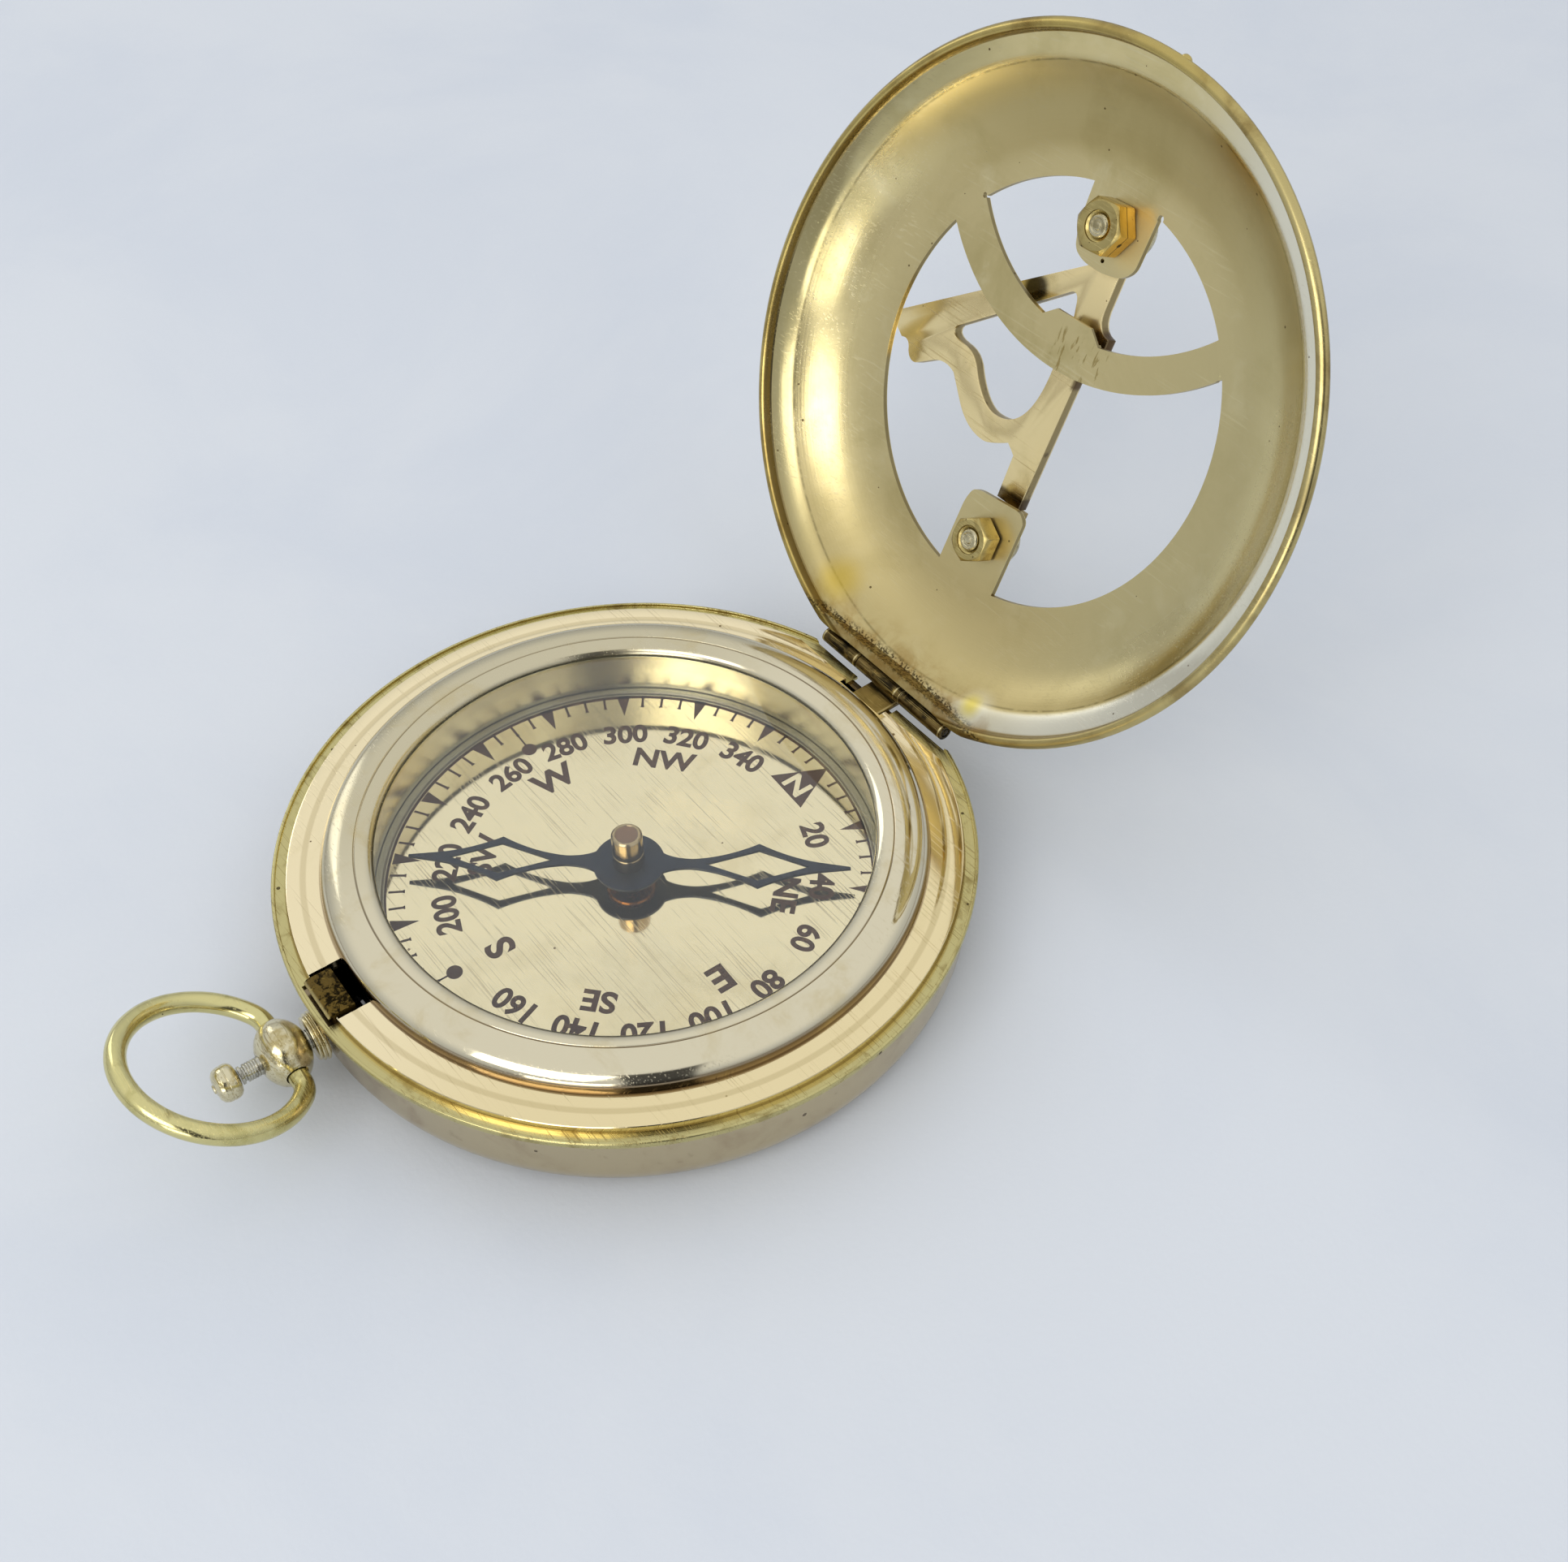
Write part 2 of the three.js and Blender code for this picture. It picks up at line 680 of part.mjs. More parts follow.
// Bow ring: an open ring whose ends turn into the ball's two side holes
function makeBowRing() {
  const bendAngle = THREE.MathUtils.degToRad(bowBendAngle);
  const bendEnd = new THREE.Vector2(bowRadius * Math.sin(bendAngle), bowCentre - bowRadius * Math.cos(bendAngle));
  const bend = new THREE.QuadraticBezierCurve(
    new THREE.Vector2(bowBendStart, 0),
    new THREE.Vector2(bendEnd.x - bendEnd.y / Math.tan(bendAngle), 0),
    bendEnd,
  );
  const half = [[bowPinInner, 0], ...bend.getPoints(3).slice(0, -1).map(({ x, y }) => [x, y])];
  const arc = arcPoints([0, bowCentre], bowRadius, -90 + bowBendAngle, 270 - bowBendAngle, 30);
  const route = [...half, ...arc, ...half.map(([x, y]) => [-x, y]).reverse()];
  return tubeAlong(route.map(([x, y]) => new THREE.Vector3(x, -y, 0)), bowWire, tubeSides, 44);
}

// Cover profile: the inside face, then the same curve pushed out by the sheet
function coverDome(offset) {
  const curve = new THREE.QuadraticBezierCurve(
    new THREE.Vector2(scribeRadius, scribeDepth),
    new THREE.Vector2(domeControl, coverDepth),
    new THREE.Vector2(crownRadius, coverDepth),
  );
  const points = [];
  for (let i = 0; i <= domeSteps; i += 1) {
    const at = curve.getPoint(i / domeSteps);
    const along = curve.getTangent(i / domeSteps);
    points.push([at.x + along.y * offset, at.y - along.x * offset]);
  }
  return points;
}

const toCoverHeight = ([radius, depth]) => [radius, -depth];

function coverOutsideProfile() {
  return [
    [coverRimInner + 0.25, -coverRimFront],
    [coverRadius - coverRimEdge * 1.5, -coverRimFront],
    [coverRadius - coverRimEdge, -coverRimFront + 0.15],
    [coverRadius, -coverRimFront + 0.6],
    [coverRadius - 0.3, 0.1],
    [coverRadius - 0.8, 0.75],
    ...coverDome(coverSheet),
    [0, coverOutside],
  ];
}

// Keeps what lies beyond the flat chord edge of the cover
function beyondChord(distance) {
  return block(-farAway, farAway, distance, farAway * 2, -farAway, farAway);
}

function tabShape(tab) {
  const inner = tab.end;
  const outer = tab.side * (cutoutRadius + 1);
  const turn = tab.side * tabCorner;
  const shape = new THREE.Shape();
  shape.moveTo(tab.x - tab.halfWidth, outer);
  shape.lineTo(tab.x - tab.halfWidth, inner + turn);
  shape.quadraticCurveTo(tab.x - tab.halfWidth, inner, tab.x - tab.halfWidth + tabCorner, inner);
  shape.lineTo(tab.x + tab.halfWidth - tabCorner, inner);
  shape.quadraticCurveTo(tab.x + tab.halfWidth, inner, tab.x + tab.halfWidth, inner + turn);
  shape.lineTo(tab.x + tab.halfWidth, outer);
  return shape;
}

function springStrip() {
  const top = -coverDepth + stripInset;
  const bottom = top - stripThick;
  const ring = rod(stripOuter, bottom, top, wideSides).subtract(rod(stripInner, bottom - 1, top + 1, wideSides))
    .translate([0, stripCentreY, 0]);
  const span = rod(cutoutRadius + stripRootReach, bottom, top, wideSides).translate([cutoutX, cutoutY, 0]);
  const pad = prism(polygon([
    [-padHalfWidth - padSlope, padTop - padSlope],
    [-padHalfWidth, padTop],
    [padHalfWidth, padTop],
    [padHalfWidth + padSlope, padTop - padSlope],
    [padHalfWidth + padSlope, padBottom],
    [-padHalfWidth - padSlope, padBottom],
  ]), bottom, top);
  return ring.intersect(span).add(pad);
}

// Cover shell, in the cover's own frame: hinge axis at y = 0, inside facing +Z
function makeCoverShell() {
  const centre = hingeY;
  const inside = [
    [0, coverDepth],
    ...coverDome(0).reverse(),
    [coverRimInner, 0.2],
    [coverRimInner, -coverRimFront + 0.3],
  ];
  const dish = revolve([...inside, ...coverOutsideProfile()].map(toCoverHeight));
  const filled = revolve([[0, -coverRimFront], ...coverOutsideProfile()].map(toCoverHeight));
  const tabs = [lowerTab, upperTab].map((tab) => prism(tabShape(tab), -coverOutside - 2, 0, 4));
  const opening = rod(cutoutRadius, -coverOutside - 1, -coverDepth + 1, wideSides)
    .translate([cutoutX, cutoutY, 0]).subtract(tabs[0]).subtract(tabs[1]);
  const holes = [lowerTab, upperTab]
    .map((tab) => rod(screwRadius + runningGap, -coverOutside - 1, 0).translate([tab.screwX, tab.screwY, 0]));
  const thumb = rod(thumbRadius, -0.2, 0.6).translate([thumbX, coverRadius - thumbRadius + 0.1, 0]);
  const pocket = block(
    -catchHalfWidth - seatGap, catchHalfWidth + seatGap,
    coverRimInner - 2, flangeRadius + catchReach + looseGap,
    -(catchTop + looseGap - hingeZ), -(noseBottom - runningGap - hingeZ),
  ).rotate([0, 0, crownTurn]);
  const shell = dish.subtract(opening).add(springStrip()).subtract(holes[0]).subtract(holes[1])
    .add(thumb).subtract(pocket).translate([0, centre, 0]);
  const wall = filled.translate([0, centre, 0])
    .intersect(beyondChord(coverChordGap))
    .subtract(beyondChord(coverChordGap + chordWall));
  return shell.intersect(beyondChord(coverChordGap)).add(wall);
}

function makeCoverKnuckle(x0, x1) {
  const leafTop = -knuckleRadius + leafThick;
  const leaf = block(x0, x1, 0, coverChordGap - seatGap, -knuckleRadius, leafTop);
  const bore = rodAlongX(hingePinRadius + runningGap, -farAway, farAway);
  return rodAlongX(knuckleRadius, x0, x1).add(leaf).subtract(bore);
}

// Gnomon plate, in the cover's frame about the cover's centre, with its scroll drawn in scroll units
function scrollLine(shape, x, y) {
  shape.lineTo(x * scrollUnit, y * scrollUnit);
}

function scrollCurve(shape, controlX, controlY, x, y) {
  shape.quadraticCurveTo(controlX * scrollUnit, controlY * scrollUnit, x * scrollUnit, y * scrollUnit);
}

function gnomonOutline() {
  const shape = new THREE.Shape();
  shape.moveTo(barRight, barLow);
  shape.lineTo(barRight, lugLow);
  shape.lineTo(gnomonAxisX + lugReach - 0.5, lugLow);
  shape.lineTo(gnomonAxisX + lugReach, lugLow + 0.5);
  shape.lineTo(gnomonAxisX + lugReach, lugHigh - 0.5);
  shape.quadraticCurveTo(gnomonAxisX + lugReach, lugHigh, gnomonAxisX + lugReach - 0.6, lugHigh);
  shape.quadraticCurveTo(barRight - 0.1, lugHigh + 0.3, barRight - 0.3, lugHigh + 2.2);
  shape.lineTo(barRight - 0.4, barHigh);
  shape.lineTo(barLeft + 0.45, barHigh);
  scrollLine(shape, -25.2, -2.0);
  scrollLine(shape, -25.0, -3.7);
  scrollLine(shape, -23.5, -4.6);
  scrollCurve(shape, -22.3, -4.1, -21.8, -5.5);
  scrollCurve(shape, -21.1, -6.6, -20.1, -6.25);
  scrollLine(shape, -18.2, -5.0);
  scrollCurve(shape, -16.3, -3.7, -14.4, -4.6);
  scrollLine(shape, -12.2, -6.8);
  scrollCurve(shape, -9.8, -9.3, -6.9, -9.2);
  scrollCurve(shape, -6.0, -9.2, -3.5, -7.7);
  scrollLine(shape, -2.7, -8.2);
  scrollLine(shape, -2.15, -8.6);
  shape.lineTo(barLeft, barLow);
  return shape;
}

function gnomonWindow() {
  const shape = new THREE.Shape();
  shape.moveTo(-1.95 * scrollUnit, 1.5 * scrollUnit);
  scrollCurve(shape, -1.95, -5.9, -6.9, -5.9);
  scrollCurve(shape, -9.0, -5.9, -11.4, -3.0);
  scrollCurve(shape, -12.6, -1.3, -14.4, -1.15);
  scrollCurve(shape, -17.2, -1.1, -16.5, 0.2);
  scrollLine(shape, -3.9, 10.4);
  scrollCurve(shape, -3.0, 11.0, -2.6, 9.8);
  scrollLine(shape, -2.2, 8.4);
  return shape;
}

function makeGnomon() {
  const half = gnomonThick / 2;
  const plate = prism(gnomonOutline(), -gnomonAxisDepth - half, -gnomonAxisDepth + half, 5);
  const window = prism(gnomonWindow(), -farAway, 0, 5);
  const bore = gnomonPinRadius + runningGap;
  const bores = rodAlongY(bore, barLow - 1, barLow + gnomonPinDepth)
    .add(rodAlongY(bore, barHigh - gnomonPinDepth, barHigh + 1))
    .translate([gnomonAxisX, 0, -gnomonAxisDepth]);
  const nose = rodAlongY(lugReach - runningGap / 2, barLow - 1, barHigh + 1, wideSides)
    .translate([gnomonAxisX, 0, -gnomonAxisDepth]);
  const beyondBar = block(barRight, farAway, lugLow - 1, lugHigh + 1, -farAway, farAway);
  return plate.subtract(window).subtract(bores).subtract(beyondBar.subtract(nose));
}

// The ears stand just past the ends of the gnomon's bar
function earSpan(tab) {
  const end = tab.side < 0 ? barLow : barHigh;
  const near = end + tab.side * seatGap;
  const far = near + tab.side * earThick;
  return { near, far };
}

function makeGnomonPin(tab) {
  const { far } = earSpan(tab);
  const end = tab.side < 0 ? barLow : barHigh;
  const inner = end - tab.side * (gnomonPinDepth - seatGap);
  const pin = rodAlongY(gnomonPinRadius, Math.min(inner, far), Math.max(inner, far));
  return pin.translate([gnomonAxisX, 0, -gnomonAxisDepth]);
}

function makeBracket(tab) {
  const { near, far } = earSpan(tab);
  const footTop = -coverOutside - seatGap;
  const footEnd = tab.screwY + tab.side * bracketHalfWidth;
  const foot = block(
    tab.screwX - bracketHalfWidth, tab.screwX + bracketHalfWidth,
    Math.min(near, footEnd), Math.max(near, footEnd),
    footTop - bracketThick, footTop,
  );
  const ear = block(
    gnomonAxisX - earHalfWidth, gnomonAxisX + earHalfWidth,
    Math.min(near, far), Math.max(near, far),
    -gnomonAxisDepth - earMargin, footTop,
  );
  const screwHole = rod(screwRadius + runningGap, -farAway, 0).translate([tab.screwX, tab.screwY, 0]);
  const pinHole = rodAlongY(gnomonPinRadius + runningGap, -farAway, farAway)
    .translate([gnomonAxisX, 0, -gnomonAxisDepth]);
  return foot.add(ear).subtract(screwHole).subtract(pinHole);
}

function makeScrew(tab) {
  const headTop = -coverOutside - seatGap * 2 - bracketThick;
  const shankEnd = -coverDepth + seatGap + nutThick + screwEnd;
  return revolve([
    [0, headTop - screwHeadHeight],
    [screwHeadRadius * 0.6, headTop - screwHeadHeight * 0.9],
    [screwHeadRadius * 0.92, headTop - screwHeadHeight * 0.55],
    [screwHeadRadius, headTop - screwHeadHeight * 0.2],
    [screwHeadRadius, headTop],
    [screwRadius, headTop],
    [screwRadius, shankEnd],
    [0, shankEnd],
  ], smallSides).translate([tab.screwX, tab.screwY, 0]);
}

function makeNut(tab) {
  const bottom = -coverDepth + seatGap;
  const corner = nutAcrossFlats / 2 / Math.cos(Math.PI / hexSides);
  const hexagon = polygon(arcPoints([0, 0], corner, -90, 210, hexSides - 1));
  return prism(hexagon, bottom, bottom + nutThick)
    .subtract(rod(screwRadius + runningGap, -farAway, 0))
    .translate([tab.screwX, tab.screwY, 0]);
}

// The whole object, with the crown's pieces and the cover's pieces in turned groups
const base = new THREE.Group();
base.add(
  pieceMesh('case_pan', makeCasePan(), materials.caseBrass),
  pieceMesh('rim_plate', makeRimPlate(), materials.flangeBrass),
  pieceMesh('bezel_ring', makeBezel(), materials.bezelBrass),
  pieceMesh('glass_crystal', makeGlass(), materials.glass),
  pieceMesh('capsule_cup', makeCapsule(), materials.caseBrass),
  pieceMesh('dial_plate', makeDialPlate(), materials.dialBrass),
  pieceMesh('dial_spacer_ring', makeDialSpacer(), materials.dialBrass),
  pieceMesh('pivot_pin', makePivotPin(), materials.paleBrass),
  pieceMesh('hinge_leaf', makeHingeLeaf(), materials.darkBrass),
  pieceMesh('hinge_pin', makeHingePin(), materials.darkBrass),
);

const needle = new THREE.Group();
needle.rotation.z = -THREE.MathUtils.degToRad(needleTurn);
needle.add(
  pieceMesh('needle_blade', makeNeedle(), materials.blackSteel),
  pieceMesh('needle_cap', makeNeedleCap(), materials.paleBrass),
  pieceMesh('needle_collar', makeNeedleCollar(), materials.darkBrass),
);

const crown = new THREE.Group();
crown.rotation.z = -THREE.MathUtils.degToRad(crownTurn);
const crownAxis = new THREE.Group();
crownAxis.position.z = crownHeight;
crownAxis.add(
  pieceMesh('pendant_neck', makePendantNeck(), materials.paleBrass),
  pieceMesh('pendant_ball', makePendantBall(), materials.paleBrass),
  pieceMesh('push_stem', makePushStem(), materials.springSteel),
  pieceMesh('push_knob', makePushKnob(), materials.paleBrass),
  pieceMesh('return_spring', makeReturnSpring(), materials.springSteel),
);
const bow = new THREE.Group();
bow.position.set(0, -ballCentre, 0);
bow.rotation.x = -THREE.MathUtils.degToRad(bowTilt);
bow.add(pieceMesh('bow_ring', makeBowRing(), materials.yellowBrass));
crownAxis.add(bow);
crown.add(crownAxis, pieceMesh('latch_catch', makeCatch(), materials.darkBrass));

const cover = new THREE.Group();
cover.position.set(0, hingeY, hingeZ);
cover.rotation.x = Math.PI - THREE.MathUtils.degToRad(coverOpenAngle);
const coverMiddle = new THREE.Group();
coverMiddle.position.y = hingeY;
for (const [name, tab] of [['lower', lowerTab], ['upper', upperTab]]) {
  coverMiddle.add(
    pieceMesh(`${name}_bracket`, makeBracket(tab), materials.gnomonBrass),
    pieceMesh(`${name}_screw`, makeScrew(tab), materials.paleBrass),
    pieceMesh(`${name}_nut`, makeNut(tab), materials.gnomonBrass),
    pieceMesh(`${name}_gnomon_pin`, makeGnomonPin(tab), materials.paleBrass),
  );
}
coverMiddle.add(pieceMesh('gnomon_plate', makeGnomon(), materials.gnomonBrass));
cover.add(
  pieceMesh('cover_shell', makeCoverShell(), materials.coverBrass),
  pieceMesh('left_cover_knuckle', makeCoverKnuckle(leftKnuckleEnd, middleKnuckleStart - 0.1), materials.darkBrass),
  pieceMesh('right_cover_knuckle', makeCoverKnuckle(middleKnuckleEnd + 0.1, rightKnuckleEnd), materials.darkBrass),
  coverMiddle,
);

const group = new THREE.Group();
group.add(base, needle, crown, cover);

export default group;
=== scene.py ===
"""Brass pocket sundial compass with its cover open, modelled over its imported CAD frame."""
import json
import math

import bpy
from mathutils import Matrix, Vector

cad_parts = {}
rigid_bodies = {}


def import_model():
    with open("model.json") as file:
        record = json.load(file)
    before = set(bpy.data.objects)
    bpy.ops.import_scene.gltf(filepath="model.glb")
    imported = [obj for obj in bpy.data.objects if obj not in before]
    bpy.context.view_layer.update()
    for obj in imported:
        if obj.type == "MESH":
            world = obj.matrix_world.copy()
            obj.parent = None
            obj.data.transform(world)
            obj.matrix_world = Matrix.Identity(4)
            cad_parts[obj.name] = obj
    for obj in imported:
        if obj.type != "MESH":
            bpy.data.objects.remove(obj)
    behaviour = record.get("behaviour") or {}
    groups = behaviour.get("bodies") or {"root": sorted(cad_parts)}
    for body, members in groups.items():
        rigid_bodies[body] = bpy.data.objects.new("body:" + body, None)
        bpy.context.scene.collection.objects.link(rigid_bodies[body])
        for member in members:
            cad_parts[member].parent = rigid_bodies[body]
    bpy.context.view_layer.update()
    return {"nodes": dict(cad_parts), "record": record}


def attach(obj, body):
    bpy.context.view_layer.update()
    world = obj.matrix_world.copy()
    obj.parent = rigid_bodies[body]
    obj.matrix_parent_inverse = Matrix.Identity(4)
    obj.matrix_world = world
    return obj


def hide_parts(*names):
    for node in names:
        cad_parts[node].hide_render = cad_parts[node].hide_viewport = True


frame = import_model()

bl_info = {
    "name": "Sundial compass",
    "version": (1, 0, 0),
    "blender": (4, 5, 0),
    "location": "3D View > Sidebar > Compass",
    "description": "Models a brass pocket sundial compass piece by piece",
    "category": "Object",
}

MM = 0.001

# Sizes shared with the CAD frame, in millimetres
CHORD_Y = 35.5
FLANGE_CHORD_Y = 34.2
LEDGE_CHORD_Y = 36.0
PAN_HEIGHT = 9.75
LEDGE_TOP = 10.1
LIP_TOP = 10.5
FLANGE_TOP = 11.0
CASE_RADIUS = 37.4
CASE_WALL = 0.9
CASE_CORNER = 4.6
DIAL_TOP = 4.5
CAPSULE_INNER = 27.15
CAPSULE_OUTER = 27.95
CAPSULE_TOP = 11.4
GLASS_TOP = 12.4
NEEDLE_LOW = 6.45
NEEDLE_HIGH = 6.75
CAP_TOP = 11.15
BALL_CENTRE = 41.75
HINGE_Y = 37.0
HINGE_Z = 11.5
COVER_CHORD = 1.3
SHEET_IN = -5.7
SHEET_OUT = -6.4
CUTOUT = Vector((-0.45, -0.3, 0.0))
CUTOUT_RADIUS = 23.0
STRIP_INNER = ((-0.47, 30.2), 23.0)
STRIP_OUTER = ((-1.0, 30.55), 27.5)

# Each tab of the cover, with its screw's place and head radius, and its nut's top, half width and turn
TABS = {
    "lower": {
        "screw": (0.25, -17.8), "head": 3.05, "top": -3.1, "flat": 2.4, "turn": -90,
        "outline": [
            (-4.3, -24.5), (-4.2, -15.2), (-3.7, -13.6), (-2.6, -13.2), (3.3, -12.6), (4.4, -13.4), (4.4, -24.5),
        ],
    },
    "upper": {
        "screw": (-0.2, 19.2), "head": 3.25, "top": -2.5, "flat": 2.65, "turn": -117,
        "outline": [
            (-5.15, 24.5), (-4.75, 17.6), (-3.9, 15.2), (-2.3, 14.5), (0.3, 14.4), (3.0, 14.95), (4.15, 16.2),
            (4.2, 24.5),
        ],
    },
}
SCREW_HEAD_FOOT = -7.9
NUT_FOOT = -5.4
GNOMON_AXIS = (0.5, -8.85)
GNOMON_LOW, GNOMON_HIGH = -9.6, -8.1
PIN_HOLE = (-0.05, 15.6)
CROWN_HEIGHT = 5.7
DIAL_CENTRE = (0.06, 0.40)
MARK_DEPTH = 0.012
WIRE_RADIUS = 1.095

# In metres: points closer than this are one
WELD = 0.000002


def turn_about(axis, degrees):
    return Matrix.Rotation(math.radians(degrees), 4, axis)


def shift(x, y, z):
    return Matrix.Translation(Vector((x, y, z)) * MM)


# Where each group of pieces stands, from its own drawing to the whole object
BASE = Matrix.Identity(4)
NEEDLE = turn_about("Z", -40.6)
CROWN = turn_about("Z", -3.0)
CROWN_OUT = CROWN @ shift(0, 0, CROWN_HEIGHT) @ turn_about("X", 90)
BOW = CROWN @ shift(0, -BALL_CENTRE, CROWN_HEIGHT) @ turn_about("X", -27.4)
HINGE = shift(0, HINGE_Y, HINGE_Z)
COVER = HINGE @ turn_about("X", 64.8)
DISH = COVER @ shift(0, HINGE_Y, 0)


# ------------ drawing outlines

def arc(centre, radius, start, end, steps, squeeze=1.0):
    """Points along an arc, in degrees, as pairs."""
    angles = [math.radians(start + (end - start) * i / steps) for i in range(steps + 1)]
    return [(centre[0] + radius * math.cos(a), centre[1] + radius * squeeze * math.sin(a)) for a in angles]


def curve_to(start, control, end, steps=10):
    """Points along a quadratic curve, without its first one."""
    return [
        tuple((1 - t) ** 2 * a + 2 * t * (1 - t) * b + t * t * c for a, b, c in zip(start, control, end))
        for t in (i / steps for i in range(1, steps + 1))
    ]


def path(*parts):
    """Points, with each curve between them given as its control point, its end and its steps."""
    points = []
    for part in parts:
        points += curve_to(points[-1], *part) if isinstance(part[0], tuple) else [part]
    return points


def mirrored(half):
    """Half an outline and its mirror image."""
    return [*half, *((-x, y) for x, y in reversed(half))]


def on_axis(points):
    """Says whether a line starts and ends on the axis, and so stays open."""
    return points[0][0] == points[-1][0] == 0


def eased(points, radius, steps=3):
    """The same outline with its corners rounded."""
    vectors = [Vector(p) for p in points]
    ends = (0, len(vectors) - 1) if on_axis(points) else ()
    out = []
    for i, here in enumerate(vectors):
        before, after = vectors[i - 1] - here, vectors[(i + 1) % len(vectors)] - here
        if i in ends or before.angle(-after, 0.0) < math.radians(12):
            out.append(tuple(here))
            continue
        reach = min(radius, before.length * 0.45, after.length * 0.45)
        first, last = here + before.normalized() * reach, here + after.normalized() * reach
        out += [tuple(first), *curve_to(first, here, last, steps)]
    return out


# ------------ modelling by hand

def chosen():
    """The sizes that the panel shows."""
    return bpy.context.scene.compass_sizes


def only(piece):
    """Selects one object and nothing else."""
    if bpy.context.object and bpy.context.object.mode != "OBJECT":
        bpy.ops.object.mode_set(mode="OBJECT")
    bpy.ops.object.select_all(action="DESELECT")
    piece.select_set(True)
    bpy.context.view_layer.objects.active = piece


def edit(piece):
    only(piece)
    bpy.ops.object.mode_set(mode="EDIT")
    bpy.ops.mesh.select_all(action="SELECT")


def done(piece):
    bpy.ops.object.mode_set(mode="OBJECT")
    return piece


def rename(piece, name):
    piece.name = piece.data.name = name


def apply(piece, kind, **settings):
    """Adds a modifier and applies it."""
    only(piece)
    step = piece.modifiers.new(kind.lower(), kind)
    for key, value in settings.items():
        setattr(step, key, value)
    bpy.ops.object.modifier_apply(modifier=step.name)
    return piece


def trace(name, points):
    """Draws a line by drawing one vertex from place to place, and leaves it in edit mode."""
    bpy.ops.object.select_all(action="DESELECT")
    bpy.ops.mesh.primitive_plane_add(size=MM)
    piece = bpy.context.active_object
    rename(piece, name)
    edit(piece)
    bpy.ops.mesh.merge(type="CENTER")
    places = [Vector(p) * MM for p in points]
    bpy.ops.transform.translate(value=places[0])
    for here, there in zip(places, places[1:]):
        bpy.ops.mesh.extrude_vertices_move(TRANSFORM_OT_translate={"value": there - here})
    bpy.ops.mesh.select_all(action="SELECT")
    return piece


def close_up(piece):
    """Merges doubles, turns all faces outwards and leaves edit mode."""
    bpy.ops.mesh.select_all(action="SELECT")
    bpy.ops.mesh.remove_doubles(threshold=WELD)
    bpy.ops.mesh.normals_make_consistent(inside=False)
    return done(piece)


def turned(name, profile, steps=None):
    """A lathe piece from a profile of (radius, height) pairs, about the Z axis."""
    line = [(r, 0.0, z) for r, z in profile]
    piece = trace(name, line if on_axis(profile) else [*line, line[0]])
    bpy.ops.mesh.spin(steps=steps or chosen().round_steps, angle=math.tau, center=(0, 0, 0), axis=(0, 0, 1))
    return close_up(piece)


def plate(name, outline, low, high):
    """A flat plate with that outline, between two heights."""
    line = [(x, y, low) for x, y in outline]
    piece = trace(name, [*line, line[0]])
    bpy.ops.mesh.remove_doubles(threshold=WELD)
    bpy.ops.mesh.edge_face_add()
    bpy.ops.mesh.extrude_region_move(TRANSFORM_OT_translate={"value": (0, 0, (high - low) * MM)})
    return close_up(piece)


def bar(name, x0, x1, y0, y1, z0, z1):
    """A rectangular cutter or blank."""
    return plate(name, [(x0, y0), (x1, y0), (x1, y1), (x0, y1)], z0, z1)


def disc(name, centre, radius, low, high, steps=96):
    return plate(name, arc(centre, radius, 0, 360 - 360 / steps, steps - 1), low, high)


def place(piece, where):
    """Puts a piece where it belongs and leaves its object at the origin."""
    only(piece)
    piece.matrix_world = where @ piece.matrix_world
    bpy.context.view_layer.update()
    bpy.ops.object.transform_apply(location=True, rotation=True, scale=True)
    return piece


def carve(piece, tool, how="DIFFERENCE"):
    """Cuts a piece with a tool, or joins or keeps what both share, and puts the tool away."""
    apply(piece, "BOOLEAN", operation=how, solver="EXACT", object=tool)
    bpy.data.objects.remove(tool)
    if not piece.data.polygons:
        raise RuntimeError(f"{piece.name} has nothing left after a cut")
    return piece


def saw(piece, y, keep_front=True):
    """Saws a piece off at a plane across Y and closes the cut."""
    edit(piece)
    bpy.ops.mesh.bisect(
        plane_co=(0, y * MM, 0), plane_no=(0, 1, 0), use_fill=True,
        clear_outer=keep_front, clear_inner=not keep_front,
    )
    return close_up(piece)


def break_edges(piece, width, angle=35):
    """Takes the sharpness off the edges."""
    return apply(piece, "BEVEL", width=width * MM, segments=2, limit_method="ANGLE", angle_limit=math.radians(angle))


def together(pieces, name):
    """Joins pieces into one mesh."""
    only(pieces[0])
    for piece in pieces:
        piece.select_set(True)
    bpy.ops.object.join()
    rename(pieces[0], name)
    return pieces[0]


def body_of(node):
    for body, members in frame["record"]["behaviour"]["bodies"].items():
        if node in members:
            return body
    raise RuntimeError(f"no body holds {node}")


def finish_piece(piece, finish, like, smooth=32, hides=True):
    """Shades a piece, gives it its finish and lets it ride with the node that it stands for or belongs to."""
    only(piece)
    bpy.ops.object.shade_smooth_by_angle(angle=math.radians(smooth))
    piece.data.materials.clear()
    piece.data.materials.append(finish_named(finish))
    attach(piece, body_of(like))
    if hides:
        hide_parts(like)


def rework(node, name, width, finish):
    """Stands a merged copy of a CAD node, with its edges broken, in the node's place."""
    only(frame["nodes"][node])
    bpy.ops.object.duplicate()
    piece = bpy.context.active_object
    rename(piece, name)
    bpy.ops.object.parent_clear(type="CLEAR_KEEP_TRANSFORM")
    for key in [key for key in piece.keys() if key.startswith("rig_")]:
        del piece[key]
    bpy.ops.mesh.customdata_custom_splitnormals_clear()
    edit(piece)
    close_up(piece)
    edit(piece)
    bpy.ops.mesh.dissolve_limited(angle_limit=math.radians(2))
    done(piece)
    finish_piece(break_edges(piece, width), finish, node)


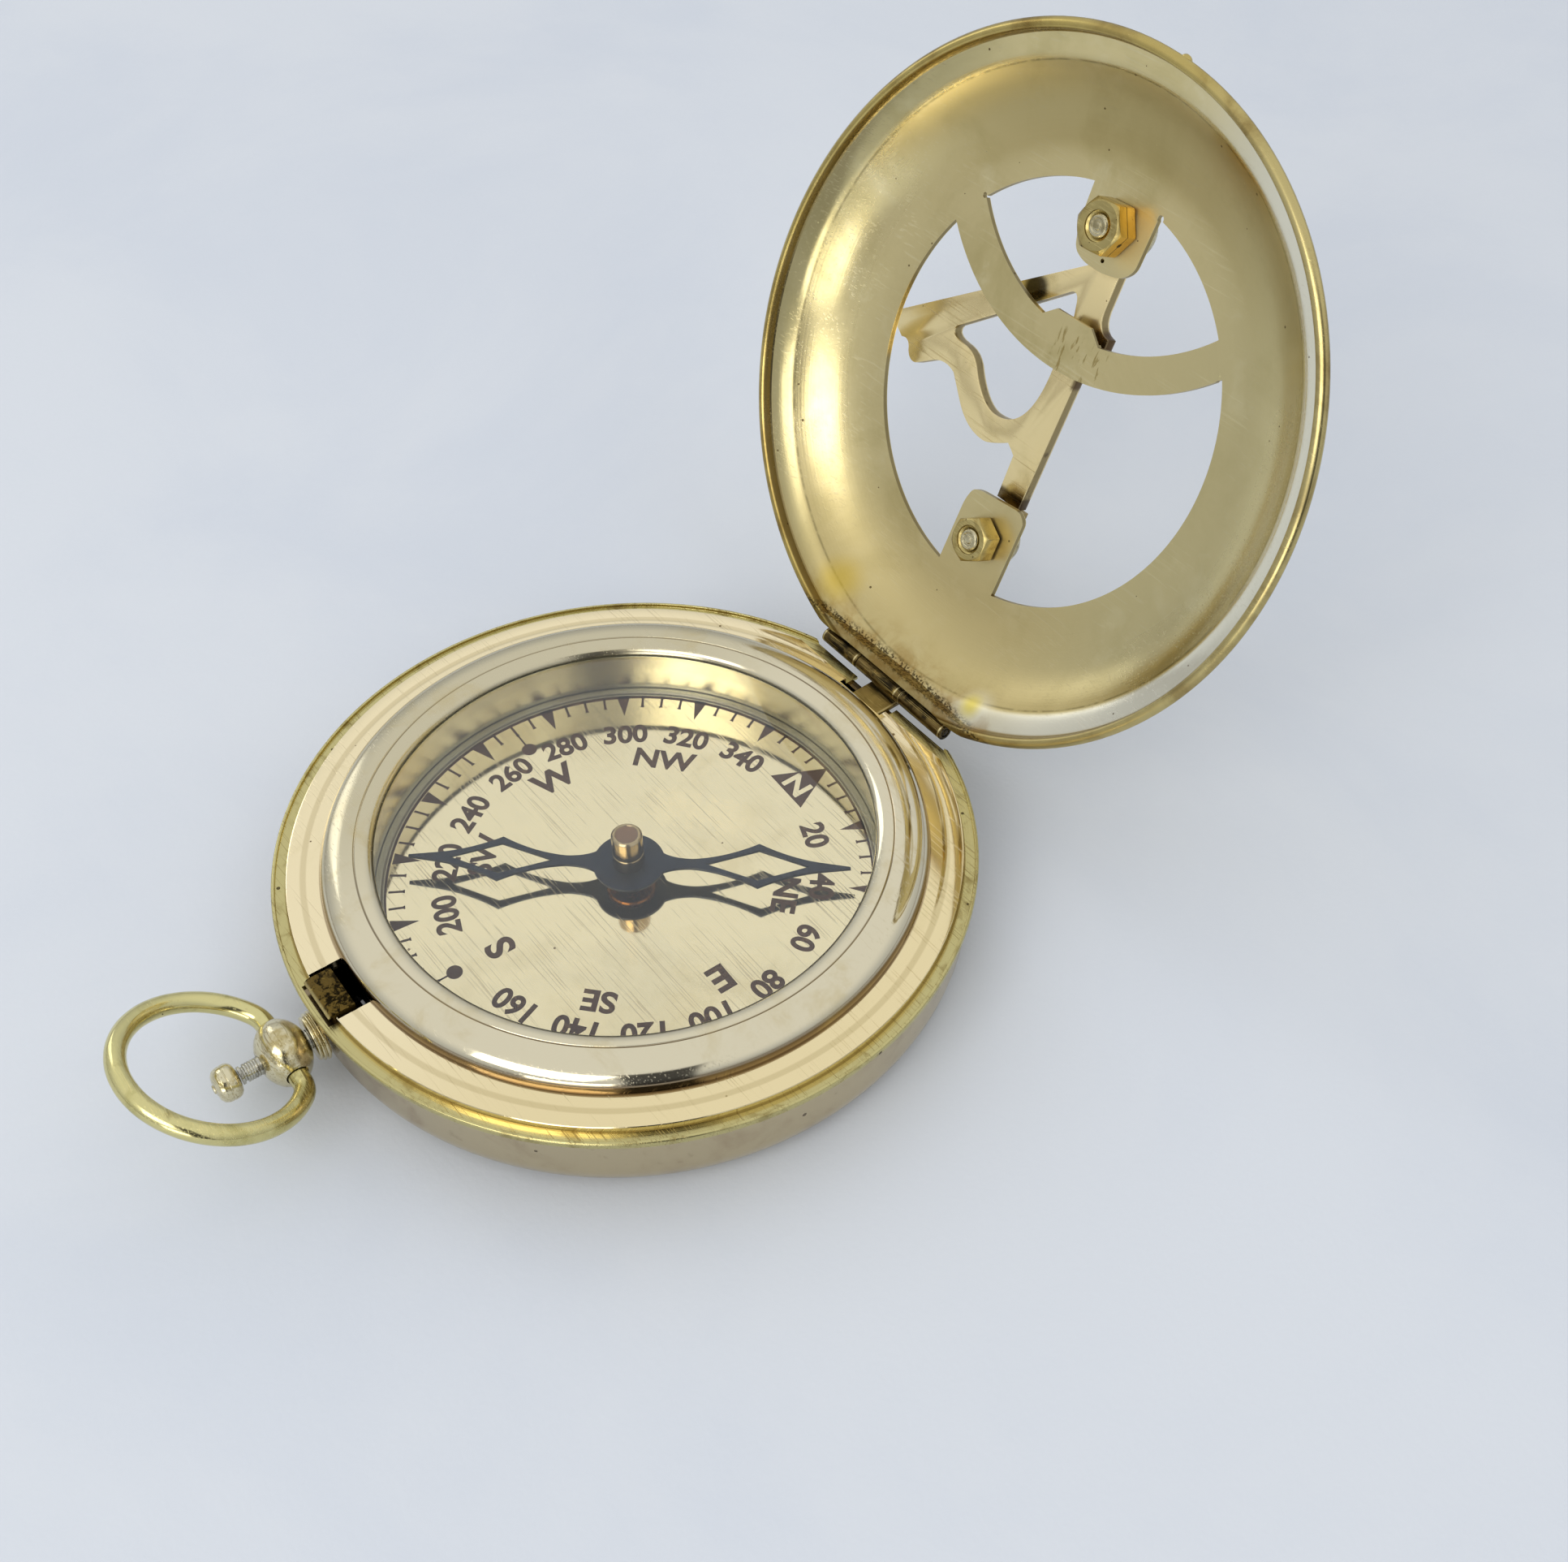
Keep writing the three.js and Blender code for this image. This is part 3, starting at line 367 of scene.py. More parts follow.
def dress(node, finish):
    """Gives a CAD node that stays in view its finish."""
    part, material = frame["nodes"][node], finish_named(finish)
    if not part.material_slots:
        part.data.materials.append(material)
    for held in part.material_slots:
        held.material = material


# ------------ shading nodes

def add(tree, kind, inputs, **settings):
    """Adds a node; inputs are values or the sockets that feed them."""
    made = tree.nodes.new(kind)
    for key, value in settings.items():
        setattr(made, key, value)
    for key, value in inputs.items():
        if isinstance(value, bpy.types.NodeSocket):
            tree.links.new(value, made.inputs[key])
        else:
            made.inputs[key].default_value = value
    return made


def maths(tree, operation, a, b=0.0, clamp=False):
    return add(tree, "ShaderNodeMath", {0: a, 1: b}, operation=operation, use_clamp=clamp).outputs[0]


def remap(tree, value, low, high, to_low=0.0, to_high=1.0, curve="SMOOTHSTEP"):
    inputs = {0: value, 1: low, 2: high, 3: to_low, 4: to_high}
    return add(tree, "ShaderNodeMapRange", inputs, interpolation_type=curve).outputs[0]


def blend(tree, share, first, second):
    return add(tree, "ShaderNodeMix", {0: share, 6: first, 7: second}, data_type="RGBA").outputs[2]


def split(tree, at):
    """The three coordinates of a place, and its distance from the Z axis."""
    x, y, z = add(tree, "ShaderNodeSeparateXYZ", {0: at}).outputs
    flat = add(tree, "ShaderNodeCombineXYZ", {0: x, 1: y}).outputs[0]
    return x, y, z, add(tree, "ShaderNodeVectorMath", {0: flat}, operation="LENGTH").outputs["Value"]


def new_group(name, numbers, result):
    """A shader node group that takes a vector and numbers and gives one number."""
    group = bpy.data.node_groups.new(name, "ShaderNodeTree")
    group.interface.new_socket(name="Vector", in_out="INPUT", socket_type="NodeSocketVector")
    for label, default in numbers.items():
        group.interface.new_socket(name=label, in_out="INPUT", socket_type="NodeSocketFloat").default_value = default
    group.interface.new_socket(name=result, in_out="OUTPUT", socket_type="NodeSocketFloat")
    return group, group.nodes.new("NodeGroupInput").outputs, group.nodes.new("NodeGroupOutput").inputs[0]


def scratch_group():
    """Fine straight scratches in three directions, broken into short runs."""
    group, given, out = new_group("FineScratches", {"Per mm": 2.0, "Width": 0.02}, "Mask")
    scaled = add(group, "ShaderNodeVectorMath", {0: given[0], "Scale": given[1]}, operation="SCALE").outputs[0]
    found = None
    edge = maths(group, "SUBTRACT", 0.72, maths(group, "MULTIPLY", given[2], 2.0))
    for turn, offset in ((0.5, 0.0), (2.1, 7.0), (-0.4, 19.0)):
        runs = add(group, "ShaderNodeMapping", {
            "Vector": scaled, "Location": (offset, offset, offset),
            "Rotation": (0.15, 0.1, turn), "Scale": (0.06, 5.0, 5.0),
        }).outputs[0]
        lines = add(group, "ShaderNodeTexNoise", {"Vector": runs, "Scale": 1.0, "Detail": 0.0}).outputs[0]
        line = remap(group, lines, edge, maths(group, "ADD", edge, 0.04), curve="LINEAR")
        patch = add(group, "ShaderNodeTexNoise", {"Vector": scaled, "Scale": 0.13 + 0.04 * turn, "Detail": 1.0})
        kept = maths(group, "MULTIPLY", line, remap(group, patch.outputs[0], 0.42, 0.60))
        found = kept if found is None else maths(group, "MAXIMUM", found, kept)
    group.links.new(found, out)
    return group


def turning_group():
    """Fine circular lines left by a lathe, about the local Z axis."""
    group, given, out = new_group("TurningLines", {"Per mm": 6.0}, "Value")
    _, _, z, radius = split(group, given[0])
    along = maths(group, "MULTIPLY", maths(group, "ADD", radius, z), given[1])
    lines = add(group, "ShaderNodeTexNoise", {
        "W": along, "Scale": 1.0, "Detail": 3.0, "Roughness": 0.7,
    }, noise_dimensions="1D")
    group.links.new(lines.outputs[0], out)
    return group


def blotch_group():
    """Soft uneven patches of tarnish."""
    group, given, out = new_group("Blotches", {"Scale": 0.2, "Low": 0.5, "High": 0.7}, "Mask")
    cloud = add(group, "ShaderNodeTexNoise", {
        "Vector": given[0], "Scale": given[1], "Detail": 6.0, "Roughness": 0.62, "Distortion": 0.4,
    })
    group.links.new(remap(group, cloud.outputs[0], given[2], given[3]), out)
    return group


def speck_group():
    """Small scattered spots."""
    group, given, out = new_group("Specks", {"Scale": 0.6, "Size": 0.08}, "Mask")
    cells = add(group, "ShaderNodeTexVoronoi", {"Vector": given[0], "Scale": given[1]}).outputs
    parts = add(group, "ShaderNodeSeparateColor", {0: cells["Color"]}).outputs
    spot = maths(group, "LESS_THAN", cells["Distance"], maths(group, "MULTIPLY", given[2], parts[0]))
    group.links.new(maths(group, "MULTIPLY", spot, maths(group, "GREATER_THAN", parts[1], 0.55)), out)
    return group


MAKERS = {
    "FineScratches": scratch_group, "TurningLines": turning_group, "Blotches": blotch_group, "Specks": speck_group,
}
GROUPS = {}


def grouped(tree, name, inputs):
    """The result of a node group, which is made when it is first asked for."""
    if name not in GROUPS:
        GROUPS[name] = MAKERS[name]()
    return add(tree, "ShaderNodeGroup", inputs, node_tree=GROUPS[name]).outputs[0]


def linear(colour):
    """A screen colour, or one of the scene's colours by its name, as Blender's linear colour."""
    if isinstance(colour, str):
        colour = getattr(bpy.context.scene.compass_colours, colour)
    return (*(c / 12.92 if c <= 0.04045 else ((c + 0.055) / 1.055) ** 2.4 for c in colour), 1.0)


class Finish:
    """A finish that is built up in layers, drawn in the millimetres of its group's own drawing."""

    def __init__(self, name, where, colour, roughness):
        self.material = bpy.data.materials.new(name)
        self.material.use_nodes = True
        self.tree = self.material.node_tree
        self.tree.nodes.clear()
        spot, turn, _ = where.decompose()
        self.at = add(self.tree, "ShaderNodeMapping", {
            "Vector": add(self.tree, "ShaderNodeTexCoord", {}).outputs["Object"],
            "Location": spot, "Rotation": turn.to_euler(), "Scale": (MM, MM, MM),
        }, vector_type="TEXTURE").outputs[0]
        self.x, self.y, self.z, self.r = split(self.tree, self.at)
        self.colour = linear(colour)
        self.roughness = roughness
        self.height = None

    def tint(self, mask, colour, share=1.0):
        amount = maths(self.tree, "MULTIPLY", mask, share, clamp=True)
        self.colour = blend(self.tree, amount, self.colour, linear(colour))
        return self

    def roughen(self, mask, by):
        self.roughness = maths(self.tree, "ADD", self.roughness, self.both(mask, by), clamp=True)
        return self

    def raise_(self, mask, by):
        step = self.both(mask, by)
        self.height = step if self.height is None else maths(self.tree, "ADD", self.height, step)
        return self

    def scratches(self, per_mm, width, colour, share, rough, depth):
        mask = grouped(self.tree, "FineScratches", {"Vector": self.at, "Per mm": per_mm, "Width": width})
        if colour:
            self.tint(mask, colour, share)
        return self.roughen(mask, rough).raise_(mask, depth)

    def turning(self, per_mm, rough, depth):
        value = grouped(self.tree, "TurningLines", {"Vector": self.at, "Per mm": per_mm})
        return self.roughen(maths(self.tree, "SUBTRACT", value, 0.5), rough).raise_(value, depth)

    def cloud(self, scale, low, high, at=None):
        """One in soft uneven patches."""
        inputs = {"Vector": self.at if at is None else at, "Scale": scale, "Low": low, "High": high}
        return grouped(self.tree, "Blotches", inputs)

    def blotches(self, colour, scale, low, high, share, rough):
        mask = self.cloud(scale, low, high)
        return self.tint(mask, colour, share).roughen(mask, rough)

    def specks(self, colour, scale, size, share):
        mask = grouped(self.tree, "Specks", {"Vector": self.at, "Scale": scale, "Size": size})
        return self.tint(mask, colour, share).roughen(mask, 0.2)

    def waves(self, scale, depth, detail=2.0, rough=0.5):
        inputs = {"Vector": self.at, "Scale": scale, "Detail": detail, "Roughness": rough}
        return self.raise_(add(self.tree, "ShaderNodeTexNoise", inputs).outputs[0], depth)

    def both(self, first, second):
        """One where both masks are one."""
        return maths(self.tree, "MULTIPLY", first, second)

    def ramp(self, value, low, high, to_low=0.0, to_high=1.0):
        return remap(self.tree, value, low, high, to_low, to_high)

    def band(self, value, low, high, soft):
        """One between two values and nought outside them."""
        rise = self.ramp(value, low - soft, low + soft)
        return self.both(rise, self.ramp(value, high - soft, high + soft, 1.0, 0.0))

    def spot(self, middle, radius, soft):
        """One around a place and nought away from it."""
        apart = add(self.tree, "ShaderNodeVectorMath", {0: self.at, 1: middle}, operation="DISTANCE").outputs["Value"]
        return self.ramp(apart, radius, radius + soft, 1.0, 0.0)

    def close(self, bump, metallic=1.0, **constants):
        """Joins the layers to the shader and gives the material."""
        shader = add(self.tree, "ShaderNodeBsdfPrincipled", {
            "Base Color": self.colour, "Roughness": self.roughness, "Metallic": metallic,
        })
        for key, value in constants.items():
            shader.inputs[key.replace("_", " ")].default_value = value
        if self.height is not None:
            relief = add(self.tree, "ShaderNodeBump", {"Height": self.height, "Strength": 1.0, "Distance": bump * MM})
            self.tree.links.new(relief.outputs[0], shader.inputs["Normal"])
        add(self.tree, "ShaderNodeOutputMaterial", {0: shader.outputs[0]})
        return self.material


# ------------ finishes

RECIPES = {}
MATERIALS = {}


def finish(name, where, colour, roughness, bump, **constants):
    """Keeps the layers of a finish under their function's name."""
    def keep(layers):
        RECIPES[layers.__name__] = (name, where, colour, roughness), layers, {"bump": bump, **constants}
        return layers
    return keep


def finish_named(key):
    """The material of a finish, made when it is first asked for."""
    if key == "glass" and key not in MATERIALS:
        MATERIALS[key] = clear_glass()
    if key not in MATERIALS:
        start, layers, end = RECIPES[key]
        f = Finish(*start)
        layers(f)
        MATERIALS[key] = f.close(**end)
    return MATERIALS[key]


@finish("flange_brass", BASE, "flange", 0.09, 0.012)
def flange(f):
    f.waves(0.09, 3.0).scratches(1.1, 0.006, "tarnish", 0.14, 0.1, -0.4)
    f.blotches((0.74, 0.66, 0.42), 0.12, 0.55, 0.8, 0.3, 0.05)
    f.specks((0.30, 0.20, 0.10), 0.45, 0.10, 0.8)
    # The right half is tinted darker and yellower: painted reflection.
    f.tint(f.ramp(f.x, 2.0, 24.0), (0.90, 0.82, 0.60), 0.5)
    # A mild dark tint along the shallow groove: painted shade.
    groove = f.band(f.r, 34.3, 34.95, 0.12)
    f.tint(groove, (0.62, 0.54, 0.32), 0.28)
    foot = f.band(f.r, 32.6, 32.9, 0.08)
    f.tint(foot, (0.42, 0.28, 0.12), 0.6)


@finish("bezel_brass", BASE, "bezel", 0.055, 0.006)
def bezel(f):
    f.turning(6.0, 0.10, 0.6).scratches(1.4, 0.006, None, 0.0, 0.1, -0.4)
    groove = f.band(f.r, 28.82, 28.98, 0.05)
    f.tint(groove, (0.40, 0.30, 0.14), 0.75)
    satin = f.cloud(0.05, 0.46, 0.62)
    # The left side is rougher, and tinted darker grey: the tint is a painted reflection of the grey floor and walls.
    rougher_with_painted_shade = f.ramp(f.x, -4.0, -20.0)
    f.roughen(f.both(satin, f.band(f.r, 29.1, 32.6, 0.3)), 0.05)
    f.roughen(rougher_with_painted_shade, 0.12).tint(rougher_with_painted_shade, (0.74, 0.70, 0.57), 0.5)
    foot = f.band(f.r, 32.5, 32.9, 0.15)
    f.tint(foot, (0.42, 0.30, 0.14), 0.8)
    f.blotches((0.76, 0.68, 0.46), 0.15, 0.5, 0.75, 0.4, 0.05)


@finish("case_brass", BASE, "case", 0.16, 0.01)
def case(f):
    f.turning(3.5, 0.14, 1.2).waves(0.1, 4.0)
    f.blotches((0.50, 0.38, 0.28), 0.10, 0.48, 0.75, 0.5, 0.08)
    f.blotches((0.34, 0.28, 0.16), 0.5, 0.60, 0.8, 0.4, 0.12)
    # Darker just under the lip: painted shadow of the lip's overhang.
    under = f.band(f.z, 9.35, 9.9, 0.15)
    f.tint(under, (0.30, 0.21, 0.09), 0.6)
    f.specks((0.20, 0.13, 0.07), 0.4, 0.12, 0.7)


@finish("lip_brass", BASE, "yellow", 0.24, 0.01)
def lip(f):
    f.turning(4.0, 0.12, 0.8).scratches(1.6, 0.015, "tarnish", 0.4, 0.1, -0.5)
    f.blotches((0.45, 0.35, 0.10), 0.35, 0.5, 0.72, 0.5, 0.1)
    foot = f.band(f.r, 36.4, 36.65, 0.08)
    f.tint(foot, (0.45, 0.36, 0.14), 0.6)
    f.specks((0.20, 0.13, 0.05), 0.5, 0.12, 0.8)


@finish("capsule_brass", BASE, "capsule", 0.21, 0.006)
def capsule(f):
    f.turning(13.0, 0.10, 1.6)
    f.blotches((0.72, 0.66, 0.48), 0.10, 0.45, 0.7, 0.35, 0.04)
    f.blotches((0.66, 0.50, 0.36), 0.07, 0.58, 0.72, 0.35, 0.02)
    ring = f.both(f.band(f.r, 26.1, 26.3, 0.05), f.ramp(f.z, 5.2, 5.0))
    f.tint(ring, (0.25, 0.20, 0.11), 0.8)
    wall_foot = f.band(f.z, 4.7, 5.15, 0.08)
    f.tint(wall_foot, (0.34, 0.28, 0.16), 0.6)


@finish("dial_brass", BASE, "dial", 0.07, 0.006)
def dial(f):
    f.scratches(1.3, 0.005, "tarnish", 0.26, 0.14, -0.6)
    f.waves(0.08, 1.0)
    f.blotches((0.78, 0.68, 0.46), 0.09, 0.50, 0.8, 0.35, 0.05)
    f.specks((0.35, 0.25, 0.15), 0.35, 0.07, 0.8)


@finish("dark_engraving", BASE, "engraving", 0.5, 0.004, metallic=0.0, Specular_IOR_Level=0.3)
def engraving(f):
    f.blotches((0.52, 0.40, 0.26), 0.9, 0.52, 0.72, 0.35, 0.1)
    f.specks((0.62, 0.50, 0.32), 2.0, 0.22, 0.4)


@finish("blued_steel", NEEDLE, "needle", 0.28, 0.006, metallic=0.85)
def needle(f):
    f.blotches((0.16, 0.15, 0.14), 0.35, 0.45, 0.7, 0.6, 0.12)
    f.scratches(2.0, 0.02, (0.35, 0.36, 0.38), 0.25, 0.1, -0.3)


@finish("cap_brass", NEEDLE, (0.70, 0.62, 0.48), 0.17, 0.006)
def cap(f):
    f.turning(7.0, 0.16, 1.0)
    f.blotches((0.50, 0.40, 0.27), 0.6, 0.45, 0.72, 0.5, 0.1)
    top = f.band(f.r, -1.0, 1.22, 0.04)
    crown = f.both(top, f.ramp(f.z, 11.0, 11.06))
    f.tint(crown, (0.48, 0.36, 0.30), 0.85)


@finish("collar_copper", NEEDLE, (0.58, 0.42, 0.26), 0.25, 0.006)
def collar(f):
    f.turning(6.0, 0.14, 0.8)
    f.blotches((0.28, 0.17, 0.10), 0.8, 0.45, 0.7, 0.5, 0.1)


@finish("hinge_brass", BASE, "hinge", 0.32, 0.015)
def hinge(f):
    f.blotches((0.10, 0.09, 0.07), 0.45, 0.42, 0.60, 0.9, 0.12)
    f.blotches((0.72, 0.60, 0.32), 0.8, 0.58, 0.72, 0.6, -0.1)
    # Pale bands at the ends of the knuckles: painted highlights on their edges.
    for end in (-10.5, -5.05, 2.1, 2.95, 9.85):
        f.tint(f.band(f.x, end - 0.10, end + 0.10, 0.05), (0.86, 0.80, 0.60), 0.75)
    leaf = f.both(f.band(f.y, 33.0, 36.1, 0.15), f.band(f.x, -3.0, 3.0, 0.1))
    f.tint(leaf, (0.60, 0.50, 0.26), 0.6)
    f.scratches(2.5, 0.03, (0.85, 0.75, 0.45), 0.5, -0.05, -0.8)
    f.waves(1.2, 2.0)


RECIPES["hinge_cover"] = ("hinge_cover_brass", *RECIPES["hinge"][0][1:]), *RECIPES["hinge"][1:]


@finish("crown_brass", CROWN_OUT, "crown", 0.14, 0.012)
def crown(f):
    f.turning(4.0, 0.14, 1.0).scratches(1.2, 0.03, (0.50, 0.42, 0.22), 0.5, 0.12, -0.9)
    f.blotches((0.66, 0.58, 0.32), 0.30, 0.48, 0.66, 0.7, 0.04)
    f.blotches((0.34, 0.28, 0.14), 0.55, 0.60, 0.74, 0.6, 0.1)
    f.waves(0.45, 5.0)


@finish("stem_steel", CROWN_OUT, (0.74, 0.73, 0.68), 0.18, 0.012)
def stem(f):
    f.turning(9.0, 0.2, 2.0)
    f.blotches((0.22, 0.18, 0.10), 0.9, 0.48, 0.66, 0.7, 0.15)


@finish("bow_brass", BOW, "bow", 0.16, 0.012)
def bow(f):
    f.blotches((0.66, 0.62, 0.36), 0.25, 0.48, 0.7, 0.6, 0.08)
    f.blotches((0.42, 0.35, 0.14), 0.35, 0.60, 0.8, 0.6, 0.1)
    f.scratches(1.5, 0.02, (0.95, 0.88, 0.60), 0.3, 0.1, -0.6)
    f.specks((0.12, 0.08, 0.03), 0.45, 0.11, 0.9)
    f.waves(0.35, 4.0)


@finish("catch_brass", CROWN, (0.42, 0.34, 0.16), 0.42, 0.02)
def catch(f):
    f.blotches((0.09, 0.07, 0.03), 1.3, 0.45, 0.58, 0.95, 0.2)
    f.blotches((0.80, 0.68, 0.34), 1.8, 0.60, 0.74, 0.8, -0.1)
    # The front edge is tinted lighter: painted highlight.
    edge = f.ramp(f.y, -37.0, -36.75, 1.0, 0.0)
    f.tint(edge, (0.72, 0.66, 0.46), 0.8)
    f.waves(2.2, 8.0, 5.0, 0.7)


@finish("spring_steel", CROWN_OUT, (0.50, 0.50, 0.50), 0.3, 0.01)
def spring(f):
    f.blotches((0.25, 0.22, 0.18), 0.8, 0.45, 0.65, 0.6, 0.1)


@finish("cover_brass", DISH, "cover", 0.22, 0.014)
def cover(f):
    f.turning(2.2, 0.08, 0.4).scratches(0.9, 0.008, (0.90, 0.87, 0.74), 0.2, 0.06, -0.2)
    f.blotches((0.70, 0.64, 0.42), 0.07, 0.42, 0.7, 0.6, 0.05)
    f.blotches((0.92, 0.88, 0.72), 0.16, 0.54, 0.74, 0.35, 0.04)
    # Darker olive and rougher at the top of the dome: the tint is painted shade in place of dark reflections.
    crown = f.both(f.band(f.r, 25.5, 33.6, 1.4), f.ramp(f.y, 8.0, 26.0))
    f.tint(crown, (0.62, 0.56, 0.37), 0.6).roughen(crown, 0.20)
    # The right side is tinted darker and less yellow: painted shade.
    right = f.ramp(f.x, 4.0, 24.0)
    f.tint(right, (0.76, 0.72, 0.54), 0.45)
    # Darker and rougher towards the hinge: the tint is painted shade that dims the highlights there.
    rougher_with_painted_shade = f.ramp(f.y, -31.0, -14.0, 1.0, 0.0)
    f.tint(rougher_with_painted_shade, (0.70, 0.63, 0.43), 0.6).roughen(rougher_with_painted_shade, 0.20)
    near_nut = f.spot((2.4, 18.6, -5.7), 1.5, 2.5)
    f.roughen(near_nut, 0.30)
    f.blotches((0.60, 0.50, 0.24), 0.25, 0.66, 0.88, 0.35, 0.06)
    f.roughen(f.band(f.r, -1.0, 28.5, 2.0), 0.10)
    scribe = f.band(f.r, 33.96, 34.10, 0.10)
    broken = f.cloud(0.5, 0.36, 0.56)
    f.tint(f.both(scribe, broken), (0.40, 0.36, 0.22), 0.6)
    f.roughen(f.band(f.r, 34.2, 36.6, 0.3), -0.06)
    rim = f.band(f.r, 36.75, 39.0, 0.12)
    pale = f.ramp(f.x, 2.0, 22.0)
    f.tint(rim, (0.70, 0.61, 0.30), 0.7)
    within = maths(f.tree, "SUBTRACT", f.z, f.both(f.r, 0.5))
    slope = f.both(f.band(f.r, 34.4, 36.6, 0.3), f.ramp(within, -18.95, -18.75))
    # The right side of the sloping band is tinted pale and whitish: painted reflection.
    f.tint(f.both(pale, slope), (0.92, 0.90, 0.82), 0.9)
    # The left of the sloping band is tinted darker: painted shade.
    painted_shade_left = f.both(slope, f.ramp(f.x, -14.0, -26.0))
    f.tint(painted_shade_left, (0.58, 0.55, 0.40), 0.5)
    cut = f.both(f.band(f.z, -6.32, -5.78, 0.03), f.ramp(f.r, 25.0, 25.4, 1.0, 0.0))
    f.tint(cut, (0.40, 0.32, 0.15), 0.6)
    # The right side of the rim is tinted paler: painted reflection.
    f.tint(f.both(pale, rim), (0.80, 0.75, 0.56), 0.45)
    browned = f.cloud(0.11, 0.42, 0.72)
    f.tint(f.both(rim, browned), (0.42, 0.30, 0.10), 0.7)
    f.tint(f.band(f.r, 36.55, 36.80, 0.08), (0.40, 0.31, 0.12), 0.6)
    foot = f.ramp(f.y, -35.0, -30.5, 1.0, 0.0)
    rust = f.cloud(0.30, 0.40, 0.66)
    f.tint(f.both(foot, rust), (0.60, 0.47, 0.22), 0.7)
    fold = f.band(f.y, -34.75, -34.1, 0.35)
    stipple = f.cloud(2.6, 0.46, 0.56)
    f.tint(f.both(fold, stipple), (0.17, 0.12, 0.05), 0.9)
    f.tint(f.spot((12.0, -33.2, -1.4), 0.4, 3.0), (0.93, 0.91, 0.82), 0.55)
    f.tint(f.spot((11.2, -33.0, -1.4), 0.3, 1.8), (0.86, 0.78, 0.28), 0.8)
    f.tint(f.spot((-13.5, -31.5, -2.0), 0.5, 3.5), (0.78, 0.66, 0.18), 0.6)
    pad = f.both(f.band(f.x, -1.5, 5.6, 0.4), f.band(f.y, 2.6, 7.6, 0.4))
    drawn = add(f.tree, "ShaderNodeMapping", {"Vector": f.at, "Rotation": (0, 0, -0.25), "Scale": (1.9, 0.38, 1.0)})
    chips = f.cloud(1.2, 0.57, 0.63, drawn.outputs[0])
    f.tint(f.both(pad, chips), (0.58, 0.48, 0.22), 0.65)
    f.specks((0.28, 0.19, 0.08), 0.5, 0.08, 0.8)
    f.specks((0.88, 0.84, 0.62), 0.8, 0.07, 0.6)
    f.waves(0.10, 4.0).waves(0.5, 0.6)


@finish("gnomon_brass", DISH, "gnomon", 0.23, 0.010)
def gnomon(f):
    f.scratches(0.6, 0.012, (0.60, 0.50, 0.28), 0.25, 0.1, -0.4)
    f.blotches((0.72, 0.64, 0.40), 0.16, 0.50, 0.75, 0.45, 0.06)
    # The side walls are rougher and tinted darker than the faces; the darker tint is painted shade.
    side = f.band(f.z, -9.40, -8.30, 0.08)
    f.tint(side, (0.52, 0.45, 0.29), 0.8).roughen(side, 0.14)
    wear = f.cloud(0.4, 0.56, 0.66)
    f.tint(f.both(side, wear), (0.30, 0.22, 0.12), 0.7)
    # The cam lug, under the strip's pad, is tinted dark brown: painted shade.
    lug = f.both(f.ramp(f.x, 0.9, 1.5), f.band(f.y, 1.4, 8.6, 0.3))
    f.tint(lug, (0.30, 0.20, 0.11), 0.85)
    # A dark spot on the arm: painted reflection of something dark.
    f.tint(f.spot((-8.3, 8.7, -8.2), 1.1, 1.0), (0.12, 0.09, 0.05), 0.9)
    # Dark at the lower end, where the bar passes under the tab: painted shadow.
    foot = f.ramp(f.y, -12.5, -11.9, 1.0, 0.0)
    f.tint(foot, (0.24, 0.16, 0.08), 0.85)
    f.specks((0.25, 0.18, 0.07), 0.5, 0.10, 0.8)
    f.waves(0.2, 1.5)


@finish("bracket_brass", DISH, (0.60, 0.50, 0.26), 0.33, 0.014)
def bracket(f):
    f.blotches((0.24, 0.17, 0.07), 0.5, 0.45, 0.66, 0.8, 0.12)
    f.scratches(1.6, 0.03, (0.88, 0.80, 0.52), 0.4, 0.0, -0.7)


@finish("nut_brass", DISH, (0.72, 0.65, 0.42), 0.30, 0.012)
def nut(f):
    f.scratches(2.4, 0.03, (0.92, 0.86, 0.62), 0.4, 0.05, -0.8)
    f.blotches((0.50, 0.40, 0.18), 0.6, 0.48, 0.7, 0.6, 0.1)
    f.specks((0.20, 0.14, 0.06), 0.9, 0.16, 0.8)
    axis = TABS["upper"]["screw"]
    upper = f.ramp(f.y, 10.0, 12.0)
    right = f.both(upper, f.ramp(f.x, axis[0] + 0.3, axis[0] + 0.9))
    # The right facets of the upper nut are tinted amber: painted reflection.
    amber = f.both(right, f.ramp(f.z, -2.85, -2.65, 1.0, 0.0))
    f.tint(amber, (0.88, 0.71, 0.30), 0.85).roughen(amber, 0.10)
    seam = f.both(upper, f.band(f.z, -4.08, -3.96, 0.04))
    f.tint(seam, (0.25, 0.14, 0.05), 0.9)
    f.tint(f.spot((axis[0] + 2.5, axis[1] - 1.0, -4.0), 0.22, 0.15), (0.10, 0.06, 0.02), 0.95)


@finish("screw_brass", DISH, (0.80, 0.76, 0.62), 0.24, 0.012)
def screw(f):
    f.blotches((0.50, 0.44, 0.26), 0.7, 0.46, 0.68, 0.6, 0.1)
    f.scratches(2.2, 0.03, (0.35, 0.28, 0.14), 0.4, 0.1, -0.8)


